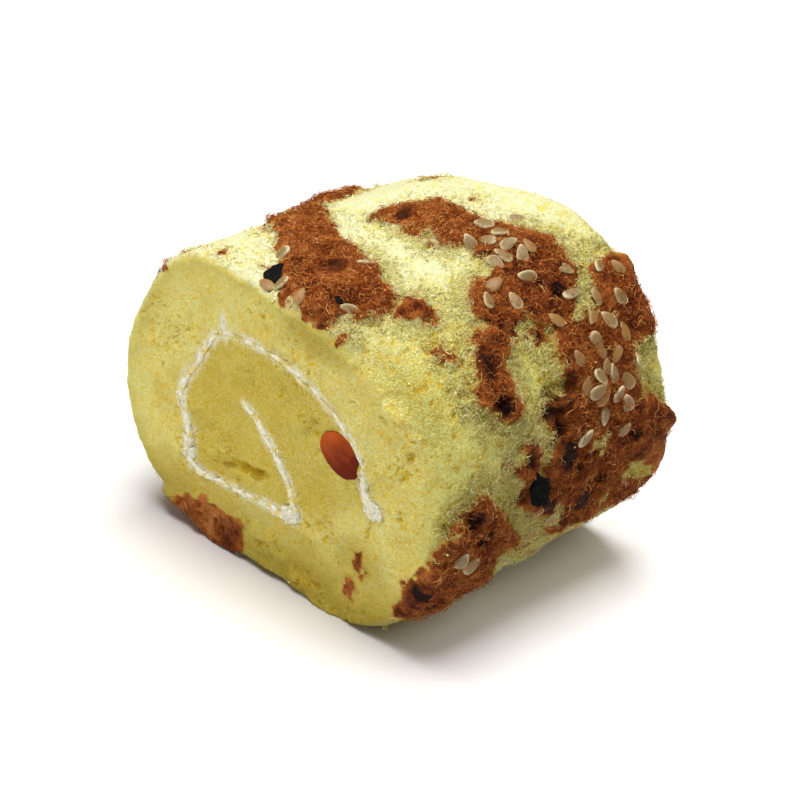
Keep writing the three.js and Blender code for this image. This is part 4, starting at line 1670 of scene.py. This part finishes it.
@dataclass
class CreamLayer:
    """The thin cream rolled up in the sheet, and the slot that it fills."""

    form: RollForm
    lines: tuple[SectionLine, ...] = (
        SectionLine(OUTER_CREAM, OUTER_WIDTHS, 91), SectionLine(INNER_CREAM, INNER_WIDTHS, 92)
    )
    overlap: float = 0.07
    slot_overrun: float = 1.0
    ragged: float = 1.3
    bulge: float = 0.08
    sunk: float = 0.08
    hole_depth: float = 0.3
    film_reach: float = 1.5
    pool_sides: int = 28
    pool_share: float = 0.82
    pool_overrun: float = -0.05
    bead_step: float = 0.7
    bead_sunk: float = 0.12
    finish: CreamFinish = CreamFinish()

    def film(self, x: Array, z: Array, points: Array) -> Array:
        """How much cream was dragged over the cut faces, from 0 to 1.

        Args:
            x: Places of the section across it.
            z: Places of the section up it.
            points: The same places in space.

        Returns:
            The film at each place.
        """
        gap = np.min([line.gap(x, z) for line in self.lines], axis=0)
        for px, pz, wide, tall in CREAM_POOLS:
            pool = (np.hypot((x - px) / wide, (z - pz) / tall) - 0.8) * min(wide, tall)
            gap = np.minimum(gap, pool * 1.6)
        patchy = rough_noise(points, 1.1, 93)
        return ramp(-gap, -self.film_reach, 0.2) * np.clip(0.8 + 1.1 * patchy, 0, 1)

    def _holes(self, points: Array) -> Array:
        """Where the cream is thin or has a hole, from 0 to 1."""
        return ramp(rough_noise(points, 0.9, 96), -0.05, 0.25)

    def _prism(self, rim: Array, name: str, overrun: float) -> Piece:
        """Closed solid of a section outline, following the drift of the roll's centre.

        Args:
            rim: Outline of the section in order, in rows of two.
            name: The object's name.
            overrun: How far it runs past both cut faces.

        Returns:
            The object.
        """
        count = len(rim)
        levels = [np.full(count, side * (self.form.half + overrun)) for side in (-1, 1)]
        ends = [self.form.from_section(rim, level) for level in levels]
        points = np.vstack([*ends, *(end.mean(axis=0) for end in ends)])
        ring = np.arange(count)
        caps = np.vstack([fan(ring, 2 * count), fan(ring + count, 2 * count + 1, flipped=True)])
        return Shell(points, tube_quads(1, count), caps).to_object(name)

    def _strip(self, line: SectionLine, name: str, spare: float, overrun: float) -> Piece:
        """Closed strip along a line through the section, its ends uneven where they show.

        Args:
            line: The line.
            name: The object's name.
            spare: How much wider than the line each side is.
            overrun: How far it runs past both cut faces, or 0 for ends that show.

        Returns:
            The object, with its thinness stored as "thin".
        """
        at, way, half = line.stations(0.25)
        across = np.column_stack([-way[:, 1], way[:, 0]])
        lanes = np.linspace(-1, 1, 7)[None, :]
        levels = [np.column_stack([at, np.full(len(at), level)]) for level in (-9.0, 9.0)]
        rag = [1 + self.ragged * rough_noise(level, 0.75, line.seed + 2)[:, None] for level in levels]
        reach = np.maximum(half[:, None] * np.where(lanes < 0, *rag), 0.1) + spare
        flat = at[:, None] + across[:, None] * (reach * lanes)[..., None]
        count, wide = flat.shape[:2]
        grids, thin = [], []
        for side in (-1, 1):
            level = np.full((count, wide), side * (self.form.half + overrun))
            spots = np.concatenate([flat, level[..., None]], axis=-1).reshape(-1, 3)
            holes = self._holes(spots).reshape(count, wide)
            if not overrun:
                ends = np.minimum(np.arange(count), np.arange(count)[::-1])[:, None] / 2
                dome = (1 - lanes**2) * np.clip(ends, 0, 1)
                level += side * (self.bulge * dome - self.sunk - self.hole_depth * holes * dome)
            grids.append(self.form.from_section(flat, level).reshape(-1, 3))
            thin.append(holes.ravel())
        number = np.arange(count * wide).reshape(count, wide)
        near = grid_quads(number)
        loop = np.concatenate([number[:-1, 0], number[-1, :-1], number[:0:-1, -1], number[0, :0:-1]])
        ahead = np.roll(loop, -1)
        wall = np.stack([loop, loop + count * wide, ahead + count * wide, ahead], axis=-1)
        quads = np.vstack([near, near[:, ::-1] + count * wide, wall])
        return Shell(np.vstack(grids), quads, values={"thin": np.concatenate(thin)}).to_object(name)

    def _oval(self, pool: tuple[float, float, float, float], spare: float) -> Array:
        """Outline of a pool of cream, slightly uneven.

        Args:
            pool: Its place and half sizes.
            spare: How much larger it is made.

        Returns:
            The outline in rows of two.
        """
        x, z, wide, tall = pool
        a = np.arange(self.pool_sides) * 2 * math.pi / self.pool_sides
        uneven = 1 + 0.16 * np.sin(3 * a + x) + 0.1 * np.sin(5 * a + z)
        reach = [size * self.pool_share * uneven + spare for size in (wide, tall)]
        return np.column_stack([x + reach[0] * np.cos(a), z + reach[1] * np.sin(a)])

    def slot_tools(self) -> list[Piece]:
        """Closed solids that cut the cream's slot out of the sponge."""
        over = self.slot_overrun
        tools = [self._strip(line, f"slot_{line.seed}", 0, over) for line in self.lines]
        for i, pool in enumerate(CREAM_POOLS):
            tools.append(self._prism(self._oval(pool, 0), f"slot_pool_{i}", over))
        return tools

    def keep_clear(self, spare: float) -> Piece:
        """The outer cream strip grown by a gap, to cut its neighbour by."""
        return self._strip(self.lines[0], "clear", spare, self.slot_overrun)

    def _beads(self) -> Shell:
        """Small beads and froth where the knife dragged cream over both faces.

        Returns:
            The shell of all beads.
        """
        rng = np.random.default_rng(7)
        spots, radii = [], []
        for line in self.lines:
            at, way, half = line.stations(self.bead_step)
            across = np.column_stack([-way[:, 1], way[:, 0]])
            spots.append(at + across * (rng.normal(0, 0.7, len(at)) * half)[:, None])
            radii.append(rng.uniform(0.25, 0.6, len(at)) * np.minimum(half, 0.5))
        for x, z, wide, tall in CREAM_POOLS:
            count = int(9 * wide * tall) + 4
            turn, reach = rng.uniform(0, 2 * math.pi, count), np.sqrt(rng.uniform(0, 1, count))
            about = np.column_stack([wide * reach * np.cos(turn), tall * reach * np.sin(turn)])
            spots.append(about + (x, z))
            radii.append(rng.uniform(0.14, 0.42, count))
        places, sizes = np.vstack(spots), np.concatenate(radii)
        levels = [np.full(len(places), side * (self.form.half - self.bead_sunk)) for side in (-1, 1)]
        centres = [self.form.from_section(places, level) for level in levels]
        squash = np.array((1.0, 0.6, 1.0)) * rng.uniform(0.6, 1.4, (2 * len(places), 3))
        return lumps(np.vstack(centres), np.tile(sizes, 2), squash, 97, 0.5)

    def build(self) -> Piece:
        """Makes the cream: two strips, their pools and beads.

        Returns:
            The object, which stands for the plain cream.
        """
        cream = self._strip(self.lines[0], "cream_layer", self.overlap, 0)
        carve(cream, self._strip(self.lines[1], "inner", self.overlap, 0), Joint.FUSED)
        for i, pool in enumerate(CREAM_POOLS):
            solid = self._prism(self._oval(pool, self.overlap), f"pool_{i}", self.pool_overrun)
            carve(cream, solid, Joint.FUSED)
        froth = self._beads().to_object("froth")
        with bpy.context.temp_override(active_object=cream, selected_editable_objects=[cream, froth]):
            bpy.ops.object.join()
        dress(cream, self.finish.material())
        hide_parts("cream")
        return cream


@dataclass
class FillingMorsel:
    """An egg-shaped morsel of filling, cut through at the near face."""

    form: RollForm
    x: float = 13.9
    z: float = 5.4
    half_wide: float = 3.9
    half_tall: float = 3.5
    depth: float = 5.0
    tilt: float = -35.0
    dome: float = 0.3
    cap_spread: float = 1.35
    sunk: float = 0.1
    seed: int = 101
    finish: MorselFinish = MorselFinish()

    def _egg(self, spare: float, name: str, front: float | None) -> Piece:
        """The morsel's egg, with or without its cut front.

        Args:
            spare: How much larger it is made.
            name: The object's name.
            front: How far the cut front domes out, or None for a whole egg.

        Returns:
            The object.
        """
        ball, faces = ball_template(4)
        uneven = 1 + 0.05 * soft_noise(ball, 0.8, self.seed)
        egg = ball * uneven[:, None] * (np.array([self.half_wide, self.depth, self.half_tall]) + spare)
        reach = np.hypot(ball[:, 0], ball[:, 2])
        if front is not None:
            spread = np.minimum(self.cap_spread * reach, 1)
            ahead = ball[:, 1] < 0
            egg[:, (0, 2)] *= np.where(ahead, spread / np.maximum(reach, 1e-6), 1.0)[:, None]
            egg[:, 1] = np.where(ahead, -front * (1 - spread**2), egg[:, 1])
        turn = math.radians(self.tilt)
        c, s = math.cos(turn), math.sin(turn)
        x, z = egg[:, 0] * c - egg[:, 2] * s, egg[:, 0] * s + egg[:, 2] * c
        centre = self.form.centre(np.array([self.sunk - self.form.half]))
        points = np.column_stack([x + self.x, egg[:, 1], z + self.z]) + centre
        # Painted highlight: lighter towards the upper left, the side the light falls on.
        light = np.clip(0.42 - 0.6 * ball[:, 0] + 0.2 * ball[:, 2], 0, 1)
        return Shell(points, np.zeros((0, 4), int), faces, {"light": light}).to_object(name)

    def recess_tool(self) -> Piece:
        """Closed solid that cuts the morsel's recess out of the sponge."""
        return self._egg(-0.05, "recess", None)

    def build(self, cream: CreamLayer) -> Piece:
        """Makes the morsel and keeps it clear of the cream.

        Args:
            cream: The cream that lies against it.

        Returns:
            The object, which stands for the plain morsel.
        """
        morsel = self._egg(0.0, "filling_morsel", self.dome)
        carve(morsel, cream.keep_clear(0.05))
        dress(morsel, self.finish.material())
        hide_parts("morsel")
        return morsel


# --- Toppings ---


@dataclass
class SesameSeeds:
    """Teardrop sesame seeds stuck to the floss."""

    form: RollForm
    length: float = 3.0
    width: float = 1.75
    thickness: float = 0.9
    spacing: float = 2.1
    sides: int = 20
    rings: int = 12
    lift: float = 0.15
    arch: float = 0.06
    soaked_sink: float = 0.16
    finish: SeedFinish = SeedFinish()

    def _places(self) -> list[tuple[float, float, float, float]]:
        """Where every seed lies.

        Returns:
            Degrees, y, heading and soak of each.
        """
        state = 2024.0
        per_degree = self.form.per_degree

        def draw() -> float:
            """Next number from 0 to 1 of a repeatable stream."""
            nonlocal state
            state = math.fmod(state * 1103515245 + 12345, 2147483648)
            return state / 2147483648

        places = [tuple(float(v) for v in seed) for seed in SEEDS]
        for degrees, y, spread_round, spread_along, count in SEED_CLUSTERS:
            made = 0
            for _ in range(40 * count):
                angle, reach, heading = 2 * math.pi * draw(), math.sqrt(draw()), 360 * draw()
                at = degrees + reach * spread_round * math.cos(angle) / per_degree
                along = y + reach * spread_along * math.sin(angle)
                clear = all(
                    math.hypot(float(turn_between(p[0], at)) * per_degree, p[1] - along) > self.spacing
                    for p in places
                )
                if clear and abs(along) < self.form.half - 1.5:
                    places.append((at, along, heading, 0.2 + 0.5 * ((made * 7) % 5) / 4))
                    made += 1
                if made == count:
                    break
        return places

    def _seed(self) -> tuple[Array, Array, Array, Array]:
        """One seed lying in XY with its tip towards +X.

        Returns:
            Points, quads, triangles and how near each point is to the seed's rim.
        """
        lean = np.linspace(0, math.pi, self.rings + 1)[1:-1]
        turn = np.arange(self.sides) * 2 * math.pi / self.sides
        v, p = np.meshgrid(lean, turn, indexing="ij")
        taper = 1 - 0.35 * np.cos(v)
        x = np.cos(v) * self.length / 2
        y = np.sin(v) * np.cos(p) * taper * self.width / 2
        dish = 1 - 0.22 * np.exp(-5 * np.cos(p) ** 2) * np.sin(v)
        z = np.sign(np.sin(p)) * np.abs(np.sin(p)) ** 0.8 * np.sin(v) * dish * self.thickness / 2
        ends = np.array([[self.length / 2, 0, 0], [-self.length / 2, 0, 0]])
        points = np.vstack([np.stack([x, y, z], axis=-1).reshape(-1, 3), ends])
        rim = 1 - np.abs(np.sin(p)) * np.sin(v) ** 1.5
        bands = len(lean) - 1
        first = np.arange(self.sides)
        foot = fan(first + bands * self.sides, len(points) - 1, flipped=True)
        triangles = np.vstack([fan(first, len(points) - 2), foot])
        return points, tube_quads(bands, self.sides), triangles, np.append(rim.ravel(), [1, 1])

    def build(self) -> Piece:
        """Makes all seeds as one joined mesh.

        Returns:
            The object.
        """
        rng = np.random.default_rng(11)
        body, quads, triangles, rim = self._seed()
        shells = []
        for degrees, y, heading, soak in self._places():
            base, around, ahead, out = self.form.seat(degrees, y)
            turn = math.radians(heading + rng.normal(0, 4))
            tip = unit(ahead * math.cos(turn) + around * math.sin(turn) + out * rng.normal(0.04, 0.12))
            across = unit(np.cross(out + rng.normal(0, 0.24, 3), tip))
            basis = np.stack([tip, across, np.cross(tip, across)])
            size = rng.uniform(0.86, 1.06)
            size = size * np.array([1, rng.uniform(0.92, 1.06), rng.uniform(0.85, 1.1)])
            bent = body * size
            bent[:, 2] += self.arch * np.cos(body[:, 0] * math.pi / self.length)
            points = bent @ basis + base + out * (self.lift - self.soaked_sink * soak)
            values = {"rim": rim, "soak": np.full(len(rim), soak)}
            shells.append(Shell(points, quads, triangles, values))
        seeds = Shell.joined(shells).to_object("sesame_seeds")
        dress(seeds, self.finish.material())
        return seeds


@dataclass
class SeaweedFlakes:
    """Thin torn flakes of seaweed baked onto the skin."""

    form: RollForm
    thickness: float = 0.3
    lift: float = 0.8
    curl: float = 0.35
    torn: float = 0.16
    seed: int = 41
    corners: Outline = (
        (-0.5, -0.3), (-0.1, -0.5), (0.45, -0.35), (0.5, 0.25), (0.05, 0.5), (-0.35, 0.4),
    )
    rings: int = 7
    per_side: int = 8
    lean: float = 0.35
    finish: SeaweedFinish = SeaweedFinish()

    def _outline(self, rng: Rng, length: float, width: float) -> Array:
        """A torn outline of a flake of that size.

        Args:
            rng: Source of the random draw.
            length: The flake's length.
            width: Its width.

        Returns:
            Outline points in rows of two.
        """
        corners = np.array(self.corners) * (length, width)
        sides = zip(corners, np.roll(corners, -1, axis=0))
        share = np.arange(self.per_side)[:, None] / self.per_side
        rim = np.vstack([a + (b - a) * share for a, b in sides])
        smooth = rim + 0.25 * (np.roll(rim, 2, axis=0) + np.roll(rim, -2, axis=0) - 2 * rim)
        knots = np.arange(0, len(rim) + 3, 3)
        wild = np.interp(np.arange(len(rim)), knots, rng.normal(0, 1, len(knots)))
        return smooth * (1 + self.torn * wild[:, None])

    def _flake(self, rng: Rng, length: float, width: float) -> Shell:
        """One flake lying in XY.

        Args:
            rng: Source of the random draw.
            length: The flake's length.
            width: Its width.

        Returns:
            The shell.
        """
        rim = self._outline(rng, length, width)
        count = len(rim)
        share = np.linspace(0, 1, self.rings + 1)[1:]
        flat = (rim[None] * share[:, None, None]).reshape(-1, 2)
        flat = np.vstack([flat, [[0, 0]]])
        reach = np.concatenate([np.repeat(share, count), [0]])
        shift = rng.uniform(0, 50, 3)
        wave = soft_noise(np.column_stack([flat, np.zeros(len(flat))]) + shift, 1.1, self.seed)
        bend = reach**2 * (flat[:, 0] / length + 0.3 * flat[:, 1] / width)
        height = self.curl * (wave * 0.5 + bend)
        edge = np.where(reach > 0.99, 0.25, 1.0) * self.thickness / 2
        top, foot = (np.column_stack([flat, height + side * edge]) for side in (1, -1))
        down = len(flat)
        up = tube_quads(self.rings - 1, count)
        lid = fan(np.arange(count), down - 1)
        last = (self.rings - 1) * count + np.arange(count)
        after = np.roll(last, -1)
        wall = np.stack([last, last + down, after + down, after], axis=-1)
        quads = np.vstack([up, up[:, ::-1] + down, wall])
        return Shell(np.vstack([top, foot]), quads, np.vstack([lid, lid[:, ::-1] + down]))

    def build(self) -> Piece:
        """Makes all flakes as one joined mesh.

        Returns:
            The object.
        """
        rng = np.random.default_rng(self.seed)
        shells = []
        for degrees, y, length, width, heading in SEAWEED:
            flake = self._flake(rng, length, width)
            base, around, ahead, out = self.form.seat(degrees, y)
            turn = math.radians(heading)
            face = unit(out - self.lean * ahead)
            tip = ahead * math.cos(turn) + around * math.sin(turn)
            front = unit(np.cross(np.cross(face, tip), face))
            basis = np.stack([front, np.cross(face, front), face])
            flake.points = flake.points @ basis + (base + out * self.lift)
            shells.append(flake)
        flakes = Shell.joined(shells).to_object("seaweed_flakes")
        dress(flakes, self.finish.material())
        return flakes


class CrumbKind(Enum):
    """Which crumbs lie on the roll."""

    PALE = "pale"
    BROWN = "brown"


@dataclass
class Crumbs:
    """Tiny crumbs clinging to the skin."""

    kind: CrumbKind
    finish: StrandFinish
    count: int
    smallest: float
    largest: float
    seed: int

    def build(self, surface: Surface, weights: Array) -> Piece:
        """Scatters the crumbs over a surface.

        Args:
            surface: What they cling to.
            weights: How densely, for each of its points.

        Returns:
            The object.
        """
        rng = np.random.default_rng(self.seed)
        root = surface.draw(weights, self.count, rng)
        radii = rng.uniform(self.smallest, self.largest, self.count)
        centres = surface.points[root] + surface.normals[root] * radii[:, None] * 0.35
        centres[:, 2] = np.maximum(centres[:, 2], radii)
        squash = rng.uniform(0.6, 1.3, (self.count, 3))
        made = lumps(centres, radii, squash, self.seed, 0.45).to_object(f"{self.kind.value}_crumbs")
        dress(made, self.finish.material())
        return made


# --- Studio ---


@dataclass(frozen=True)
class Lamp:
    """A soft square light, aimed at the roll."""

    name: str
    place: Place
    size: float
    power: float


@dataclass
class Studio:
    """White table, soft lights and the camera."""

    camera_place: Place = (201.4, -214.5, 222.1)
    target: Place = (-0.41, 1.92, 22.51)
    lens: float = 108.0
    sensor: float = 36.0
    table_size: float = 6000.0
    sky: float = 0.18
    sky_colour: Colour = (1.0, 0.8, 0.74, 1.0)
    overhead: Lamp = Lamp("overhead", (20, 60, 900), 560, 10.4)
    fills: tuple[Lamp, ...] = (
        Lamp("front_left", (-260, -420, 560), 450, 3.0),
        Lamp("front_right", (430, -200, 330), 400, 0.3),
    )
    table_wash: Lamp = Lamp("table_wash", (480, 120, 620), 400, 1.2)
    finish: TableFinish = TableFinish()

    def _aim(self, piece: Piece, place: Place) -> None:
        """Puts a lamp or the camera at a place, looking at the target."""
        piece.location = Vector(place) * MM
        back = Vector(place) - Vector(self.target)
        piece.rotation_euler = back.to_track_quat("Z", "Y").to_euler()

    def _add_lamp(self, lamp: Lamp) -> Piece:
        """Adds one area light to the scene.

        Args:
            lamp: The light.

        Returns:
            Its object.
        """
        data = bpy.data.lights.new(lamp.name, "AREA")
        data.shape, data.size, data.energy = "SQUARE", lamp.size * MM, lamp.power
        piece = bpy.data.objects.new(lamp.name, data)
        bpy.context.scene.collection.objects.link(piece)
        self._aim(piece, lamp.place)
        return piece

    def build(self, pieces: Sequence[Piece]) -> None:
        """Adds the table, world, lamps and camera.

        Args:
            pieces: The roll's pieces, which the fill lamps light and the table's doesn't.
        """
        scene = bpy.context.scene
        scene.view_settings.view_transform = "Standard"
        half = self.table_size / 2
        corners = np.array([[-half, -half, 0], [half, -half, 0], [half, half, 0], [-half, half, 0]])
        table = Shell(corners, np.array([[0, 1, 2, 3]])).to_object("table")
        table.data.materials.append(self.finish.material())
        world = bpy.data.worlds.new("studio")
        world.use_nodes = True
        backdrop = world.node_tree.nodes["Background"]
        backdrop.inputs["Color"].default_value = self.sky_colour
        backdrop.inputs["Strength"].default_value = self.sky
        scene.world = world
        self._add_lamp(self.overhead)
        lit = bpy.data.collections.new("lit_by_fills")
        for piece in pieces:
            lit.objects.link(piece)
        for lamp in self.fills:
            self._add_lamp(lamp).light_linking.receiver_collection = lit
        washed = bpy.data.collections.new("lit_by_table_wash")
        washed.objects.link(table)
        self._add_lamp(self.table_wash).light_linking.receiver_collection = washed
        data = bpy.data.cameras.new("camera")
        data.lens, data.sensor_width = self.lens, self.sensor
        camera = bpy.data.objects.new("camera", data)
        scene.collection.objects.link(camera)
        self._aim(camera, self.camera_place)
        scene.camera = camera


# --- Putting it together ---

FLOSS_STRANDS = StrandFinish(
    "floss_strands",
    (
        (0.0, shade(82, 26, 6)), (0.4, shade(160, 80, 26)), (0.75, shade(216, 142, 68)),
        (1.0, shade(240, 192, 122)),
    ),
    0.6,
)
FLUFF_STRANDS = StrandFinish(
    "sponge_strands",
    ((0.0, shade(212, 200, 96)), (0.5, shade(226, 218, 140)), (1.0, shade(236, 232, 190))),
    0.8,
)


def grow_strands(form: RollForm, surface: Surface) -> list[Piece]:
    """Grows the floss and the sponge's fluff.

    Args:
        form: The roll's form.
        surface: The sponge's surface.

    Returns:
        The pieces made.
    """
    masks = surface.masks
    browned, depth, cut = masks["browned"], masks["near_brown"], masks["cut"]
    above_table = (surface.points[:, 2] > 0.6).astype(float)
    skin = (1 - ramp(cut, 0.05, 0.5)) * above_table
    for at, along, long, *_ in SEAWEED:
        skin = skin * (form.reach(at, along, masks["degrees"], masks["y"]) > 0.65 * long)
    for at, along, radius, _ in LUMPS:
        skin = skin * (form.reach(at, along, masks["degrees"], masks["y"]) > 0.9 * radius)
    mat = browned * (0.35 + masks["wall"]) * skin * (1 - 0.7 * masks["amber"])
    mat = mat * (1.05 - masks["char"]) ** 2
    stray = ramp(depth, -1.6, -0.2) * (1 - ramp(depth, 0.2, 1.0)) * skin
    baked_top = ramp(masks["degrees"], 62, 78) * ramp(np.abs(masks["y"] + 3), 8, 14)
    baked_top = np.maximum(baked_top, baked_smooth(masks["degrees"]))
    pale = (1 - browned) * skin * (1 - 0.8 * baked_top)
    fluff = ramp(depth, -4.5, -0.2) * pale * (0.1 + masks["wall"] ** 2)
    down = (0.05 + masks["wall"] ** 2) * pale * (0.03 + ramp(depth, -6, -2))
    # Name, finish, count, shortest, longest, radius, lift, arch, curl, joints, seed.
    kinds = (
        (Strands("floss_mat", FLOSS_STRANDS, 9900, 0.8, 1.9, 0.05, 0.03, 0.08, 0.32, 3, 21), mat),
        (Strands("floss_fuzz", FLOSS_STRANDS, 11000, 0.4, 0.9, 0.035, 0.15, 0.1, 0.4, 2, 25), mat),
        (Strands("floss_fringe", FLOSS_STRANDS, 2600, 0.6, 1.5, 0.04, 0.04, 0.06, 0.3, 3, 22), stray),
        (Strands("sponge_fluff", FLUFF_STRANDS, 9900, 0.4, 1.1, 0.05, 0.4, 0.1, 0.45, 3, 23), fluff),
        (Strands("sponge_down", FLUFF_STRANDS, 5200, 0.25, 0.7, 0.045, 0.25, 0.08, 0.4, 3, 24), down),
    )
    return [kind.build(surface, weights) for kind, weights in kinds]


def scatter_crumbs(surface: Surface) -> list[Piece]:
    """Scatters pale and brown crumbs.

    Args:
        surface: The sponge's surface.

    Returns:
        The pieces made.
    """
    masks = surface.masks
    above_table = (surface.points[:, 2] > 1.0).astype(float)
    pale = (1 - masks["browned"]) * above_table * (0.3 + ramp(masks["near_brown"], -4, -0.5))
    pale = pale * (1 - masks["cut"])
    brown = ramp(masks["near_brown"], -1.8, 0.4) * above_table
    return [
        Crumbs(CrumbKind.PALE, FLUFF_STRANDS, 700, 0.07, 0.17, 31).build(surface, pale),
        Crumbs(CrumbKind.BROWN, FLOSS_STRANDS, 260, 0.08, 0.17, 32).build(surface, brown),
    ]


def main() -> None:
    """Builds the whole roll and its studio."""
    logging.basicConfig(level=logging.INFO, format="%(message)s")
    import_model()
    form = RollForm()
    cream, morsel = CreamLayer(form), FillingMorsel(form)
    sponge, surface = SpongeRoll(form, cream).build([*cream.slot_tools(), morsel.recess_tool()])
    pieces = [sponge, cream.build(), morsel.build(cream), *grow_strands(form, surface)]
    pieces += [SesameSeeds(form).build(), SeaweedFlakes(form).build()]
    pieces += scatter_crumbs(surface)
    for piece in pieces:
        faces = sum(len(face.vertices) - 2 for face in piece.data.polygons)
        log.info("%s: %d triangles", piece.name, faces)
    Studio().build(pieces)


if __name__ == "__main__":
    main()
